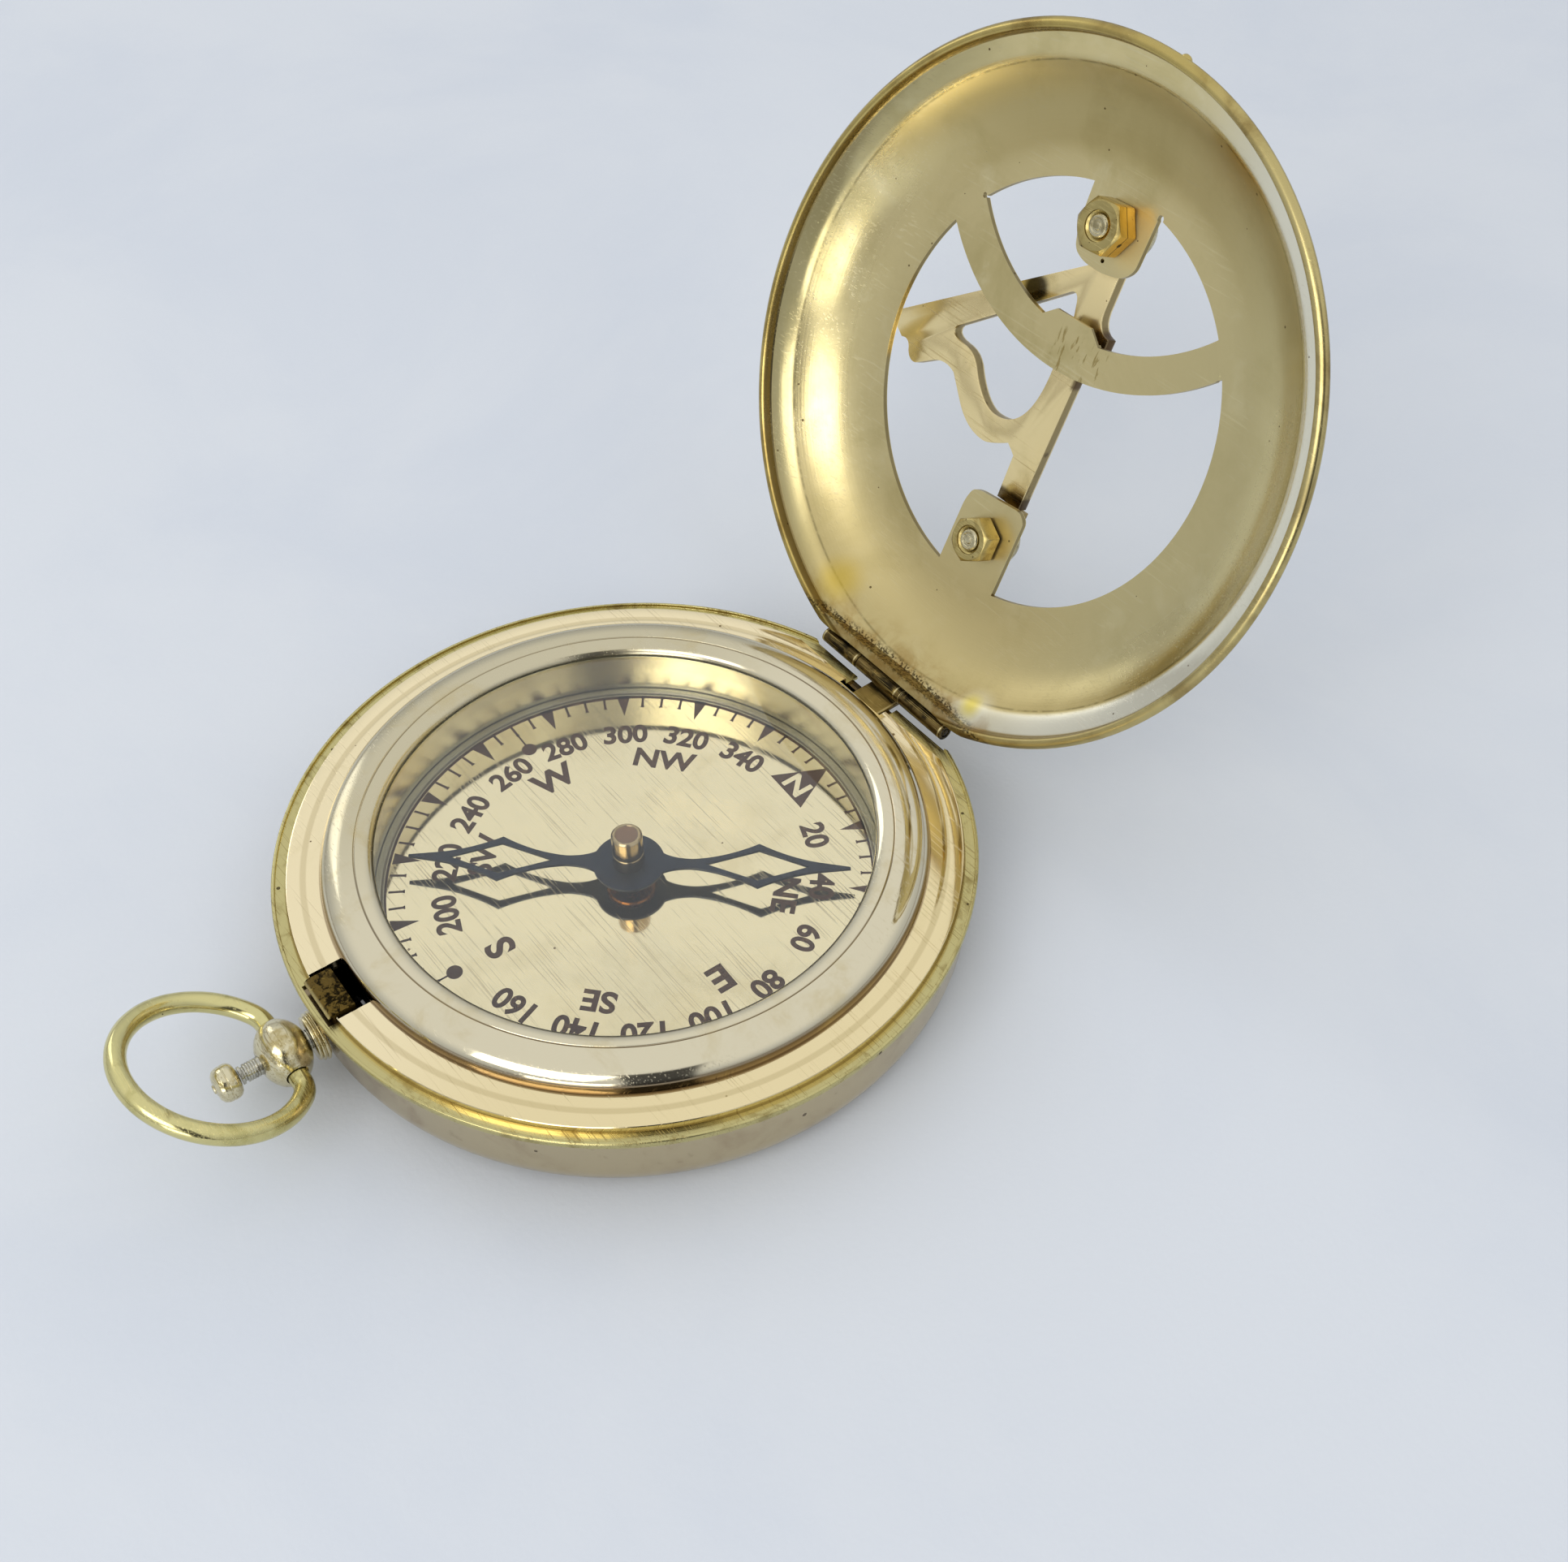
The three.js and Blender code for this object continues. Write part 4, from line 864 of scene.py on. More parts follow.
def clear_glass():
    """Clear glass that lets light through to the dial, with faint smears."""
    f = Finish("clear_glass", BASE, (0.985, 0.995, 0.99), 0.0)
    shader = add(f.tree, "ShaderNodeBsdfPrincipled", {
        "Base Color": f.colour, "Roughness": f.both(f.cloud(0.10, 0.55, 0.85), 0.02),
        "Metallic": 0.0, "IOR": 1.46, "Transmission Weight": 1.0,
    }).outputs[0]
    clear = add(f.tree, "ShaderNodeBsdfTransparent", {0: (0.97, 0.975, 0.97, 1.0)}).outputs[0]
    way = add(f.tree, "ShaderNodeLightPath", {}).outputs["Is Shadow Ray"]
    mixed = add(f.tree, "ShaderNodeMixShader", {0: way, 1: shader, 2: clear})
    add(f.tree, "ShaderNodeOutputMaterial", {0: mixed.outputs[0]})
    return f.material


# ------------ sizes and colours

def length(name, about, default):
    return bpy.props.FloatProperty(name=name, description=about, default=default, unit="LENGTH", precision=5)


def tone(name, about, default):
    return bpy.props.FloatVectorProperty(
        name=name, description=about, default=default, subtype="COLOR", min=0.0, max=1.0, size=3,
    )


class CompassSizes(bpy.types.PropertyGroup):
    round_steps: bpy.props.IntProperty(
        name="Round steps", description="Sides of a large turned piece", default=160, min=24, max=360)
    small_steps: bpy.props.IntProperty(
        name="Small round steps", description="Sides of a small turned piece", default=64, min=12, max=180)
    number_height: length("Number height", "Height of the degree numbers", 0.0027)
    number_radius: length("Number circle", "Radius of the circle through the numbers", 0.0201)
    letter_height: length("Letter height", "Height of the letters of the winds", 0.0032)
    letter_radius: length("Letter circle", "Radius of the circle through the letters", 0.0164)
    tick_outer: length("Tick outer radius", "Where the ticks start, at the spacer ring", 0.02595)
    tick_inner: length("Tick inner radius", "Where the ticks end", 0.0242)
    north_turn: bpy.props.FloatProperty(
        name="North mark", description="Turn of the north mark away from the hinge",
        default=math.radians(3.0), subtype="ANGLE")


class CompassColours(bpy.types.PropertyGroup):
    flange: tone("Flange", "Cream gold mirror flange", (0.965, 0.90, 0.735))
    bezel: tone("Bezel", "Polished bezel ring", (0.87, 0.83, 0.715))
    case: tone("Case", "Side wall of the pan", (0.77, 0.71, 0.58))
    yellow: tone("Lip", "Yellow outer lip", (0.78, 0.735, 0.51))
    capsule: tone("Capsule", "Wall below the glass", (0.88, 0.86, 0.77))
    dial: tone("Dial", "Polished dial", (0.955, 0.885, 0.725))
    engraving: tone("Engraving", "Dark marks on the dial", (0.27, 0.17, 0.11))
    tarnish: tone("Tarnish", "Brown of old scratches", (0.45, 0.34, 0.18))
    needle: tone("Needle", "Blue black steel", (0.14, 0.16, 0.20))
    hinge: tone("Hinge", "Dark tarnished hinge", (0.40, 0.33, 0.19))
    crown: tone("Crown", "Silvery brass of ball and button", (0.86, 0.82, 0.68))
    bow: tone("Bow", "Yellow satin ring", (0.85, 0.81, 0.57))
    cover: tone("Cover", "Pale olive gold of the cover", (0.855, 0.79, 0.58))
    gnomon: tone("Gnomon", "Pale gold of the gnomon", (0.96, 0.875, 0.65))
    floor: tone("Floor", "Pale floor", (0.855, 0.87, 0.89))


# ------------ pieces of the base

class MakeCase(bpy.types.Operator):
    """Turns the pan, the mirror flange and the outer lip, and cuts their slots"""
    bl_idname = "compass.make_case"
    bl_label = "Case"

    def execute(self, context):
        corner = (CASE_RADIUS - CASE_CORNER, CASE_CORNER)
        outside = [(0, 0), *arc(corner, CASE_CORNER, -90, 0, 12), (CASE_RADIUS, PAN_HEIGHT)]
        inside = [
            (CASE_RADIUS - CASE_WALL, PAN_HEIGHT), *arc(corner, CASE_CORNER - CASE_WALL, 0, -90, 10), (0, CASE_WALL),
        ]
        pan = saw(turned("case_shell", outside + inside), CHORD_Y)
        back = turned("case_back", [*outside, (0, PAN_HEIGHT)])
        carve(pan, saw(saw(back, CHORD_Y), CHORD_Y - CASE_WALL, keep_front=False), "UNION")
        bore = turned("bore", [(0, 30), (1.1, 30), (1.1, 39), (0, 39)], steps=48)
        finish_piece(carve(pan, place(bore, CROWN_OUT)), "case", "case_pan")

        lip = saw(turned("rim_lip", eased([
            (33.0, 9.76), (38.1, 9.76), (38.1, 10.36), (37.98, LIP_TOP), (37.72, LIP_TOP),
            (37.7, LEDGE_TOP), (33.0, LEDGE_TOP),
        ], 0.06)), LEDGE_CHORD_Y)
        flange = saw(turned("rim_flange", [
            (28.0, 9.78), (36.48, 9.78), (36.48, 10.84), (36.42, 10.93), (36.3, 10.96), (35.05, 10.98),
            (34.85, 10.955), (34.62, 10.945), (34.4, 10.96), (34.2, 10.99), (34.1, FLANGE_TOP), (28.0, FLANGE_TOP),
        ]), FLANGE_CHORD_Y)
        for piece in (lip, flange):
            nose = bar("nose", -3.05, 3.05, -37.35, -35.0, 6.3, 13.7)
            carve(piece, place(nose, CROWN))
            slot = bar("slot", -3.35, 3.35, -36.25, -32.6, 5.2, 15.1)
            carve(piece, place(slot, CROWN))
            carve(piece, bar("notch", -4.0, 3.0, 33.3, 38.6, 4.1, 16.3))
        finish_piece(lip, "lip", "rim_plate")
        finish_piece(flange, "flange", "rim_plate")
        return {"FINISHED"}


class MakeBezel(bpy.types.Operator):
    """Turns the bezel ring with its round shoulder, fine groove and inner band, and the glass"""
    bl_idname = "compass.make_bezel"
    bl_label = "Bezel and glass"

    def execute(self, context):
        shoulder = arc((29.75, 11.35), 3.0, 0, 88, 22, squeeze=2.05 / 3.0)
        ring = turned("bezel", [
            (32.75, FLANGE_TOP), *shoulder, (29.3, 13.395), (29.02, 13.385),
            (28.96, 13.33), (28.9, 13.31), (28.84, 13.33), (28.78, 13.375),
            (28.5, 13.365), (28.2, 13.33), (27.9, 13.26), (27.6, 13.15), (27.35, 13.0), (27.15, 12.82),
            (27.02, 12.62), (26.95, GLASS_TOP), (CAPSULE_OUTER, GLASS_TOP), (CAPSULE_OUTER, CAPSULE_TOP),
            (29.65, CAPSULE_TOP), (29.65, FLANGE_TOP),
        ], steps=chosen().round_steps + 32)
        finish_piece(ring, "bezel", "bezel_ring")
        pane = turned("glass_pane", eased([
            (0, CAPSULE_TOP + 0.01), (27.85, CAPSULE_TOP + 0.01), (27.85, GLASS_TOP - 0.01), (0, GLASS_TOP - 0.01),
        ], 0.15))
        finish_piece(pane, "glass", "glass_crystal")
        return {"FINISHED"}


class MakeCapsule(bpy.types.Operator):
    """Turns the inner cup whose wall shows below the glass, and the ring at its foot"""
    bl_idname = "compass.make_capsule"
    bl_label = "Capsule"

    def execute(self, context):
        cup = turned("capsule_wall", eased([
            (0.6, 2.9), (CAPSULE_OUTER, 2.9), (CAPSULE_OUTER, FLANGE_TOP), (29.6, FLANGE_TOP), (29.6, CAPSULE_TOP),
            (CAPSULE_INNER, CAPSULE_TOP), (CAPSULE_INNER, 3.7), (0.6, 3.7),
        ], 0.08))
        finish_piece(cup, "capsule", "capsule_cup")
        ring = turned("spacer_ring", eased([
            (26.0, DIAL_TOP), (27.1, DIAL_TOP), (27.1, 4.95), (26.35, 4.95), (26.3, 4.83), (26.0, 4.80),
        ], 0.06))
        finish_piece(ring, "capsule", "dial_spacer_ring")
        dress("pivot_pin", "cap")
        return {"FINISHED"}


def mark(shape, bearing, radius):
    """Stands a flat mark on the dial at a bearing, its top outwards."""
    angle = math.degrees(chosen().north_turn) + bearing
    spot = shift(*DIAL_CENTRE, 0) @ turn_about("Z", -angle) @ shift(0, radius, DIAL_TOP)
    return place(shape, spot)


def lettering(words, height, wide=1.0):
    """Letters as a thin flat mesh, centred, of that height in millimetres."""
    bpy.ops.object.select_all(action="DESELECT")
    bpy.ops.object.text_add()
    shape = bpy.context.active_object
    shape.data.body = words
    shape.data.size = height * MM * 1.4
    shape.data.align_x = "CENTER"
    shape.data.resolution_u = 6
    shape.data.offset = height * MM * 0.045
    shape.data.extrude = MARK_DEPTH / 2 * MM
    bpy.ops.object.convert(target="MESH")
    shape = bpy.context.active_object
    across, up, _ = zip(*(v.co for v in shape.data.vertices))
    grow = height * MM / (max(up) - min(up))
    centre = Vector(((min(across) + max(across)) / 2, (min(up) + max(up)) / 2, -MARK_DEPTH / 2 * MM))
    fit = Matrix.Diagonal((grow * wide, grow, 1.0, 1.0)) @ Matrix.Translation(-centre)
    return place(shape, fit)


class MakeDial(bpy.types.Operator):
    """Engraves the polished dial with ticks, points, numbers and the letters of the winds"""
    bl_idname = "compass.make_dial"
    bl_label = "Dial and its marks"

    def execute(self, context):
        sizes = chosen()
        number, letter = sizes.number_height / MM, sizes.letter_height / MM
        outer, inner = sizes.tick_outer / MM, sizes.tick_inner / MM
        marks = [
            mark(lettering(str(bearing), number, 0.96), bearing, sizes.number_radius / MM)
            for bearing in range(20, 360, 20) if bearing != 180
        ]
        for bearing, name in ((45, "NE"), (90, "E"), (135, "SE"), (180, "S"), (225, "SW"), (270, "W"), (315, "NW")):
            tall = letter * (1.0 if len(name) == 1 else 0.84)
            marks.append(mark(lettering(name, tall, 1.06), bearing, sizes.letter_radius / MM))
        tick = mirrored([(0.14, outer), (0.14, inner + 0.2), (0.22, inner + 0.12), (0.22, inner)])
        point = [(0, 22.95), (0.76, outer), (-0.76, outer)]
        for bearing in range(5, 360, 5):
            marks.append(mark(plate("tick", tick if bearing % 20 else point, 0, MARK_DEPTH), bearing, 0))
        for bearing in (90, 180, 270):
            dot = disc("dot", (0, 21.75), 0.85, 0, MARK_DEPTH, steps=24)
            stalk = bar("stalk", -0.1, 0.1, 22.5, 24.4, 0, MARK_DEPTH)
            marks.append(mark(together([dot, stalk], "dot"), bearing, 0))
        north = plate("north", [(-2.85, 19.9), (2.85, 19.9), (0, 25.7)], 0, MARK_DEPTH)
        letter_cut = lettering("N", 2.5, 1.15)
        letter_cut.data.transform(Matrix.Diagonal((1.0, 1.0, 80.0, 1.0)))
        place(letter_cut, shift(0, 21.5, -0.4))
        marks.append(mark(carve(north, letter_cut), 0, 0))
        circle = turned("circle", [(25.78, 0), (26.05, 0), (26.05, MARK_DEPTH), (25.78, MARK_DEPTH)])
        marks.append(place(circle, shift(0, 0, DIAL_TOP)))
        finish_piece(together(marks, "dial_marks"), "engraving", "dial_plate", hides=False)
        dress("dial_plate", "dial")
        return {"FINISHED"}


class MakeNeedle(bpy.types.Operator):
    """Cuts the skeleton needle, and turns its cap and collar"""
    bl_idname = "compass.make_needle"
    bl_label = "Needle"

    def side(self, along):
        """One edge of half the needle, from the hub to its tip."""
        return path(
            (1.73, along * 3.08), ((0.62, along * 4.24), (0.62, along * 6.8)),
            ((0.93, along * 10.32), (2.95, along * 13.85), 12), ((1.18, along * 17.02), (0.62, along * 20.2), 12),
            (0.12, along * 23.7),
        )

    def execute(self, context):
        hub = disc("needle", (0, 0), 3.85, NEEDLE_LOW, NEEDLE_HIGH, steps=72)
        for along in (1, -1):
            outline = [(0, 0), *mirrored(self.side(along))]
            carve(hub, plate("half", outline, NEEDLE_LOW, NEEDLE_HIGH), "UNION")
            window = [(0, along * 8.2), (2.05, along * 13.85), (0, along * 19.3), (-2.05, along * 13.85)]
            carve(hub, plate("window", window, NEEDLE_LOW - 1, NEEDLE_HIGH + 1))
        carve(hub, disc("bore", (0, 0), 0.58, NEEDLE_LOW - 1, NEEDLE_HIGH + 1, steps=32))
        break_edges(hub, 0.05)
        finish_piece(place(hub, NEEDLE), "needle", "needle_blade")
        cap = turned("cap_tube", eased([
            (0, CAP_TOP - 0.7), (0.58, CAP_TOP - 0.7), (0.58, NEEDLE_HIGH), (1.7, NEEDLE_HIGH), (1.7, 8.35),
            (1.63, 8.4), (1.63, 8.5), (1.7, 8.55), (1.7, CAP_TOP - 0.22), (1.48, CAP_TOP), (1.27, CAP_TOP),
            (1.22, CAP_TOP - 0.09), (0, CAP_TOP - 0.07),
        ], 0.04), steps=chosen().small_steps)
        finish_piece(place(cap, NEEDLE), "cap", "needle_cap")
        collar = turned("needle_collar_ring", eased([
            (0.58, 5.75), (2.45, 5.75), (2.6, 5.9), (2.6, 6.3), (2.5, 6.45), (0.58, 6.45),
        ], 0.05), steps=chosen().small_steps)
        finish_piece(place(collar, NEEDLE), "collar", "needle_collar")
        return {"FINISHED"}


class MakeHinge(bpy.types.Operator):
    """Works the hinge's leaf, knuckles and pin"""
    bl_idname = "compass.make_hinge"
    bl_label = "Hinge"

    def execute(self, context):
        rework("hinge_leaf", "hinge_leaf_worked", 0.09, "hinge")
        rework("hinge_pin", "hinge_pin_worked", 0.12, "hinge")
        for side in ("left", "right"):
            rework(f"{side}_cover_knuckle", f"{side}_knuckle_worked", 0.09, "hinge_cover")
        return {"FINISHED"}


# ------------ crown, bow and catch

class MakeCrown(bpy.types.Operator):
    """Turns the neck, ball, stem and push button of the crown"""
    bl_idname = "compass.make_crown"
    bl_label = "Crown"

    def execute(self, context):
        steps = chosen().small_steps
        start = 37.55
        neck = turned("neck_collars", eased([
            (1.1, start), (2.45, start), (2.45, start + 0.12), (2.75, start + 0.2), (2.75, start + 0.48),
            (2.45, start + 0.55), (2.45, start + 0.63), (2.68, start + 0.7), (2.68, start + 0.9),
            (2.3, start + 0.98), (2.3, start + 1.05), (2.5, start + 1.1), (2.45, start + 1.28), (1.9, start + 1.35),
            (1.1, start + 1.35),
        ], 0.05), steps)
        finish_piece(place(neck, CROWN_OUT), "crown", "pendant_neck")

        flat = math.degrees(math.asin(2.55 / 2.8))
        bulge = [(3.65 * x, BALL_CENTRE + 2.8 * y) for x, y in arc((0, 0), 1.0, -flat, flat, 24)]
        ball = turned("pendant_ball_body", [(1.1, BALL_CENTRE - 2.55), *bulge, (1.1, BALL_CENTRE + 2.55)], steps)
        for side in (-1, 1):
            hole = turned("hole", [(0, 2.35), (1.22, 2.35), (1.22, 5.0), (0, 5.0)], 40)
            carve(ball, place(hole, shift(0, 0, BALL_CENTRE) @ turn_about("Y", 90 * side)))
        for across, turn in ((-0.55, 62), (0.55, 66)):
            nick = bar("nick", -0.5, 0.5, -0.09, 0.09, 3.32, 3.9)
            carve(ball, place(nick, shift(0, 0, BALL_CENTRE + across) @ turn_about("X", 90) @ turn_about("Z", turn)))
        break_edges(ball, 0.05, angle=50)
        finish_piece(place(ball, CROWN_OUT), "crown", "pendant_ball")

        threads = []
        for i in range(5):
            at = 44.55 + i * 0.28
            threads += [(1.0, at), (0.93, at + 0.07), (1.0, at + 0.14)]
        stem = turned("push_stem_rod", eased([
            (0, 36.35), (1.0, 36.35), *threads, (1.0, 46.0), (0.78, 46.06), (0.78, 46.26), (1.0, 46.32),
            (1.0, 46.6), (0, 46.6),
        ], 0.03), steps)
        finish_piece(place(stem, CROWN_OUT), "stem", "push_stem")
        knob = turned("push_knob_head", eased([
            (0, 46.75), (1.0, 46.75), (1.5, 46.88), (1.8, 47.15), (1.93, 47.5), (1.95, 47.95), (1.89, 48.0),
            (1.89, 48.06), (1.94, 48.11), (1.88, 48.55), (1.68, 48.95), (1.3, 49.2), (0.8, 49.3), (0.5, 49.31),
            (0.45, 49.48), (0, 49.5),
        ], 0.08), steps)
        finish_piece(place(knob, CROWN_OUT), "crown", "push_knob")
        dress("return_spring", "spring")
        return {"FINISHED"}


class MakeBow(bpy.types.Operator):
    """Bends the wire of the bow ring"""
    bl_idname = "compass.make_bow"
    bl_label = "Bow ring"

    def execute(self, context):
        radius, middle, sweep = 9.36, 7.8, 41
        bend = math.radians(sweep)
        end = (radius * math.sin(bend), middle - radius * math.cos(bend))
        control = (end[0] - end[1] / math.tan(bend), 0.0)
        half = path((2.6, 0.0), (3.4, 0.0), (4.2, 0.0), (control, end, 8))[:-1]
        ring = arc((0, middle), radius, -90 + sweep, 270 - sweep, 96)
        route = [*half, *ring, *[(-x, y) for x, y in reversed(half)]]
        only(trace("bow_wire", [(x, -y, 0.0) for x, y in route]))
        bpy.ops.object.convert(target="CURVE")
        wire = bpy.context.active_object
        wire.data.dimensions = "3D"
        wire.data.bevel_depth = WIRE_RADIUS * MM
        wire.data.bevel_resolution = 8
        wire.data.use_fill_caps = True
        bpy.ops.object.convert(target="MESH")
        wire = bpy.context.active_object
        edit(wire)
        close_up(wire)
        finish_piece(place(wire, BOW), "bow", "bow_ring", smooth=50)
        return {"FINISHED"}


class MakeCatch(bpy.types.Operator):
    """Works the catch that the button moves"""
    bl_idname = "compass.make_catch"
    bl_label = "Catch"

    def execute(self, context):
        rework("latch_catch", "catch_block", 0.1, "catch")
        return {"FINISHED"}


# ------------ cover

def dome(offset, steps=18):
    """The curve between the scribed line and the flat of the cover, pushed out by the sheet."""
    ends = list(zip((34.0, 1.5), (30.0, 5.7), (24.0, 5.7)))
    points = []
    for t in (i / steps for i in range(steps + 1)):
        x, y = ((1 - t) ** 2 * a + 2 * t * (1 - t) * b + t * t * c for a, b, c in ends)
        dx, dy = (2 * (1 - t) * (b - a) + 2 * t * (c - b) for a, b, c in ends)
        size = math.hypot(dx, dy)
        reach = offset * (1 - 0.75 * t * (1 - t))
        points.append((x + dy / size * reach, -(y - dx / size * reach)))
    return points


class MakeCover(bpy.types.Operator):
    """Spins the dished cover, cuts its opening with two tabs, and closes its flat back"""
    bl_idname = "compass.make_cover"
    bl_label = "Cover"

    def execute(self, context):
        rolled = [
            (36.72, 0.80), (36.80, 0.98), (36.97, 1.09), (37.2, 1.1), (37.45, 1.04), (37.70, 0.86),
            (37.88, 0.64), (37.94, 0.45), (37.90, 0.22), (37.68, -0.08), (37.42, -0.42), (37.2, -0.75),
        ]
        inside = [
            (0, SHEET_IN), *reversed(dome(0)),
            *curve_to((34.0, -1.5), (34.76, -0.70), (36.55, -0.16)), (36.68, 0.0),
        ]
        outside = [*dome(0.7), (0, SHEET_OUT)]
        steps = chosen().round_steps + 32
        shell = turned("cover_dish", [*inside, *rolled, *outside], steps=steps)
        back = COVER_CHORD - HINGE_Y
        shell = saw(shell, back, keep_front=False)
        cutter = disc("opening", (CUTOUT.x, CUTOUT.y), CUTOUT_RADIUS, -8, -4, steps=192)
        for tab in TABS.values():
            carve(cutter, plate("tab", eased(tab["outline"], 0.9, steps=4), -9, -3))
        outer, inner = self.arc_within(*STRIP_OUTER), self.arc_within(*STRIP_INNER)
        carve(cutter, plate("strip", [*outer, *reversed(inner)], -9.2, -2.8))
        pad = [(-4.9, 7.2), (-2.9, 8.85), (2.1, 8.95), (4.1, 7.4), (4.1, 5.5), (-4.9, 5.5)]
        carve(cutter, plate("pad", pad, -9.4, -2.6))
        carve(shell, cutter)
        for tab in TABS.values():
            carve(shell, disc("hole", tab["screw"], 1.35, -8.3, -3.7, steps=32))
        # The gnomon's cam turns in a shallow relief behind the strip
        carve(shell, bar("cam_relief", -3.2, 3.6, 1.9, 9.6, -8.0, -6.14))
        carve(shell, disc("pin_hole", PIN_HOLE, 0.24, -8.6, -3.4, steps=20))
        for notch, size in (((18.95, 11.15), 0.42), ((4.45, 22.2), 0.40), ((-17.85, 15.0), 0.30)):
            carve(shell, disc("notch", notch, size, -8.9, -3.1, steps=28))
        wall = turned("wall", [(0, 0.75), (36.72, 0.75), *rolled, *outside], steps=steps)
        wall = saw(saw(wall, back, keep_front=False), back + 1.1)
        carve(shell, wall, "UNION")
        nub = turned("nub", [
            (0, -0.25), (0.5, -0.2), (0.74, 0.02), (0.8, 0.25), (0.72, 0.45), (0.45, 0.6), (0, 0.62),
        ], 32)
        carve(shell, place(nub, shift(3.5, 37.28, 0)), "UNION")
        pocket = bar("pocket", -3.1, 3.1, 34.7, 37.35, 0.05, 0.8)
        carve(shell, place(pocket, turn_about("Z", 3.0)))
        finish_piece(place(shell, DISH), "cover", "cover_shell", smooth=28)
        return {"FINISHED"}

    def arc_within(self, centre, radius):
        """The part of the strip's edge that lies in the opening and just under its border."""
        centre, hole = Vector(centre), Vector((CUTOUT.x, CUTOUT.y))
        kept = []
        for i in range(1200):
            angle = math.radians(180 + 180 * i / 1200)
            spot = centre + Vector((math.cos(angle), math.sin(angle))) * radius
            if (spot - hole).length < CUTOUT_RADIUS + 0.6:
                kept.append((spot.x, spot.y))
        return kept[:1] + kept[12:-12:12] + kept[-1:]


class MakeGnomon(bpy.types.Operator):
    """Cuts the gnomon plate with its scroll and window, and rounds its cam"""
    bl_idname = "compass.make_gnomon"
    bl_label = "Gnomon"

    def execute(self, context):
        outline = path(
            (1.4, -13.6), (1.4, 2.9), (2.75, 2.9), (3.25, 3.4), (3.25, 7.7), ((3.25, 8.2), (2.65, 8.2), 5),
            ((1.3, 8.5), (1.1, 10.4), 6), (1.0, 15.0), (-1.5, 15.0), (-25.2, -2.0), (-25.0, -3.7), (-23.5, -4.6),
            ((-22.3, -4.1), (-21.8, -5.5)), ((-21.1, -6.6), (-20.1, -6.25)), (-18.2, -5.0),
            ((-16.3, -3.7), (-14.4, -4.6)), (-12.2, -6.8), ((-9.8, -9.3), (-6.9, -9.2), 12),
            ((-6.0, -9.2), (-3.5, -7.7)), (-2.7, -8.2), (-2.15, -8.6), (-1.95, -13.6),
        )
        body = plate("gnomon_blade", outline, GNOMON_LOW, GNOMON_HIGH)
        window = path(
            (-1.95, 1.5), ((-1.95, -5.9), (-6.9, -5.9), 14), ((-9.0, -5.9), (-11.4, -3.0), 12),
            ((-12.6, -1.3), (-14.4, -1.15), 8), ((-17.2, -1.1), (-16.5, 0.2), 8), (-3.9, 10.4),
            ((-3.0, 11.0), (-2.6, 9.8), 8), (-2.2, 8.4),
        )
        carve(body, plate("window", window, -12, -6))
        past = bar("past", 1.4, 6.0, 1.9, 9.2, -12, -6)
        nose = turned("nose", [(0, -1.0), (2.7, -1.0), (2.7, 12.0), (0, 12.0)], 96)
        place(nose, shift(GNOMON_AXIS[0], 0, GNOMON_AXIS[1]) @ turn_about("X", -90))
        carve(body, carve(past, nose))
        break_edges(body, 0.07)
        finish_piece(place(body, DISH), "gnomon", "gnomon_plate")
        for side in TABS:
            rework(f"{side}_gnomon_pin", f"{side}_pin_worked", 0.06, "screw")
        return {"FINISHED"}


class MakeFasteners(bpy.types.Operator):
    """Makes the gnomon's brackets, their screws and hex nuts"""
    bl_idname = "compass.make_fasteners"
    bl_label = "Brackets, screws and nuts"

    def execute(self, context):
        steps = chosen().small_steps
        for side, tab in TABS.items():
            rework(f"{side}_bracket", f"{side}_bracket_worked", 0.14, "bracket")
            where = DISH @ shift(*tab["screw"], 0)
            top, flat, head = tab["top"], tab["flat"], tab["head"]
            screw = turned(f"{side}_screw_body", eased([
                (0, top + 0.08), (0.38, top + 0.06), (0.46, top - 0.06), (0.74, top - 0.06), (0.82, top + 0.05),
                (1.05, top + 0.03), (1.25, top - 0.16), (1.25, SCREW_HEAD_FOOT), (head, SCREW_HEAD_FOOT),
                (head, -8.35), (head - 0.13, -8.85), (head - 0.65, -9.36), (1.7, -9.78), (0.9, -9.93), (0, -9.95),
            ], 0.04), steps)
            carve(screw, bar("driver_slot", -4, 4, -0.3, 0.3, -11, -9.35))
            finish_piece(place(screw, where), "screw", f"{side}_screw")
            corner = flat / math.cos(math.pi / 6)
            nut = plate(f"{side}_nut_body", arc((0, 0), corner, tab["turn"], tab["turn"] + 300, 5), NUT_FOOT, top)
            blank = turned("blank", [
                (0, -5.41), (corner - 0.1, -5.41), (corner + 0.1, -5.2), (corner + 0.1, top - 0.45),
                (flat - 0.15, top + 0.01), (0, top + 0.01),
            ], 96)
            carve(nut, blank, "INTERSECT")
            carve(nut, turned("thread", [
                (0, -6), (1.3, -6), (1.3, top - 0.35), (1.62, top - 0.2), (1.72, top + 0.5), (0, top + 0.5),
            ], 48))
            break_edges(nut, 0.05)
            finish_piece(place(nut, where), "nut", f"{side}_nut")
        return {"FINISHED"}


# ------------ stage

# Soft lights: where each stands, what it faces, its width and height, power and colour
LIGHTS = {
    "key_window": ((0.27, -0.71, 0.68), (0, 0, 0.03), (0.60, 0.50), 2.7, (1.0, 0.99, 0.97)),
    "low_card": ((0.56, -0.80, 0.16), (0, 0, 0.05), (0.45, 0.26), 1.1, (1.0, 0.99, 0.96)),
    "side_card": ((-0.85, -0.10, 0.40), (0, 0, 0.05), (0.25, 0.5), 0.5, (0.96, 0.98, 1.0)),
}
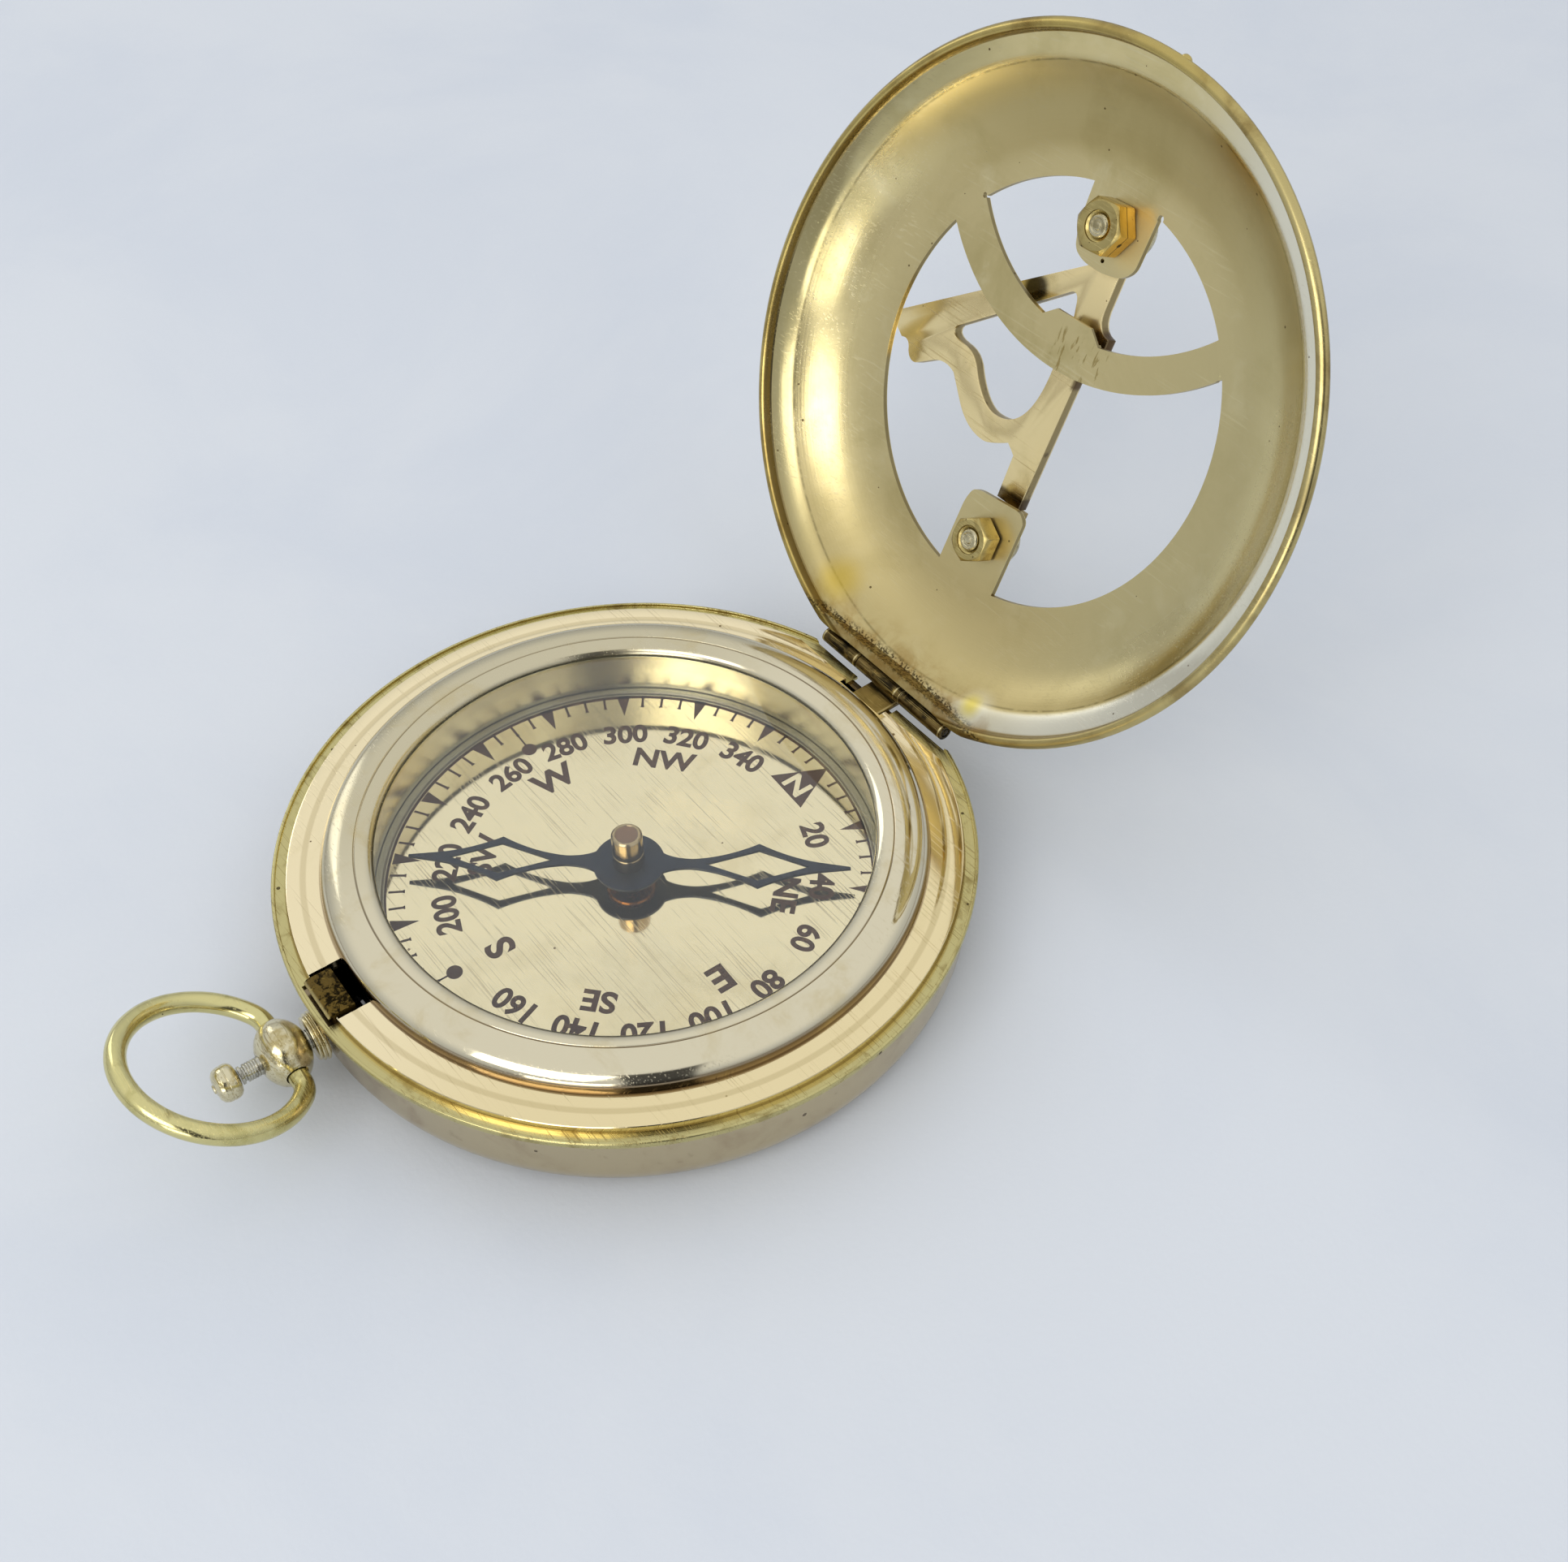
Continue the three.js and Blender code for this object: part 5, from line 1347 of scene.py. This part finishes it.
# The camera's place, its lens, and its right, up and back directions, fitted to the photograph
CAMERA_AT = (0.11767, -0.07138, 0.17061)
CAMERA_LENS = 44.53
CAMERA_AXES = (
    Vector((0.62265, 0.78250, -0.00239)), Vector((-0.57864, 0.46249, 0.67177)), Vector((0.52676, -0.41689, 0.74076)),
)


class MakeStage(bpy.types.Operator):
    """Sets the pale floor, the soft light and the camera"""
    bl_idname = "compass.make_stage"
    bl_label = "Stage"

    def execute(self, context):
        bpy.ops.object.select_all(action="DESELECT")
        bpy.ops.mesh.primitive_plane_add(size=6.0)
        floor = context.active_object
        floor.name = "pale_floor"
        edit(floor)
        bpy.ops.mesh.subdivide(number_cuts=2)
        bpy.ops.transform.translate(value=(0, 0, -0.0001))
        done(floor)
        f = Finish("floor_paint", BASE, "floor", 0.55)
        f.blotches((0.80, 0.825, 0.865), 0.012, 0.4, 0.7, 0.5, 0.05).waves(1.5, 1.0, 4.0)
        floor.data.materials.append(f.close(0.03, metallic=0.0))

        camera = bpy.data.cameras.new("view")
        camera.sensor_width = 36.0
        camera.lens = CAMERA_LENS
        camera.clip_start = 0.005
        camera.clip_end = 50.0
        eye = bpy.data.objects.new("view", camera)
        context.scene.collection.objects.link(eye)
        eye.matrix_world = Matrix.Translation(Vector(CAMERA_AT)) @ Matrix(CAMERA_AXES).transposed().to_4x4()
        context.scene.camera = eye

        for name, (at, toward, size, power, colour) in LIGHTS.items():
            bpy.ops.object.select_all(action="DESELECT")
            bpy.ops.object.light_add(type="AREA", location=at)
            lamp = context.active_object
            lamp.name = name
            lamp.data.shape = "RECTANGLE"
            lamp.data.size, lamp.data.size_y = size
            lamp.data.energy = power
            lamp.data.color = colour
            lamp.rotation_euler = (Vector(toward) - Vector(at)).to_track_quat("-Z", "Y").to_euler()

        world = bpy.data.worlds.new("room")
        context.scene.world = world
        world.use_nodes = True
        tree = world.node_tree
        tree.nodes.clear()
        around = add(tree, "ShaderNodeTexCoord", {}).outputs["Generated"]
        up = add(tree, "ShaderNodeSeparateXYZ", {0: around}).outputs[2]
        colour = blend(tree, remap(tree, up, 0.20, 0.75), (0.62, 0.65, 0.70, 1.0), (0.93, 0.95, 0.98, 1.0))
        colour = blend(tree, remap(tree, up, 0.0, 0.18), (0.42, 0.42, 0.43, 1.0), colour)

        # A dark screen stands behind the camera, so that the polished rings get their contrast
        across, ahead = (
            add(tree, "ShaderNodeVectorMath", {0: around, 1: way}, operation="DOT_PRODUCT").outputs["Value"]
            for way in ((0.47, 0.88, 0.0), (0.88, -0.47, 0.0))
        )
        dark = remap(tree, maths(tree, "ABSOLUTE", across), 0.15, 0.21, 1.0, 0.0)
        for share in (remap(tree, up, 0.82, 0.88, 1.0, 0.0), remap(tree, ahead, 0.2, 0.3), 0.95):
            dark = maths(tree, "MULTIPLY", dark, share)
        colour = blend(tree, dark, colour, (0.03, 0.03, 0.035, 1.0))
        glow = add(tree, "ShaderNodeBackground", {0: colour, 1: 0.95})
        add(tree, "ShaderNodeOutputWorld", {0: glow.outputs[0]})
        context.scene.view_settings.view_transform = "Standard"
        return {"FINISHED"}


class CompassPanel(bpy.types.Panel):
    """Lists the operators that make the compass"""
    bl_idname = "COMPASS_PT_panel"
    bl_label = "Sundial compass"
    bl_space_type = "VIEW_3D"
    bl_region_type = "UI"
    bl_category = "Compass"

    def draw(self, context):
        for group in (context.scene.compass_sizes, context.scene.compass_colours):
            box = self.layout.box()
            for key in group.__annotations__:
                box.prop(group, key)
        for step in STEPS:
            self.layout.operator(step.bl_idname)


STEPS = (
    MakeCase, MakeBezel, MakeCapsule, MakeDial, MakeNeedle, MakeHinge, MakeCrown, MakeBow, MakeCatch,
    MakeCover, MakeGnomon, MakeFasteners, MakeStage,
)
CLASSES = (CompassSizes, CompassColours, *STEPS, CompassPanel)


def register():
    for kind in CLASSES:
        bpy.utils.register_class(kind)
    bpy.types.Scene.compass_sizes = bpy.props.PointerProperty(type=CompassSizes)
    bpy.types.Scene.compass_colours = bpy.props.PointerProperty(type=CompassColours)


def unregister():
    del bpy.types.Scene.compass_colours
    del bpy.types.Scene.compass_sizes
    for kind in reversed(CLASSES):
        bpy.utils.unregister_class(kind)


def main():
    register()
    bpy.ops.object.select_all(action="DESELECT")
    for step in STEPS:
        family, action = step.bl_idname.split(".")
        getattr(getattr(bpy.ops, family), action)()


if __name__ == "__main__":
    main()
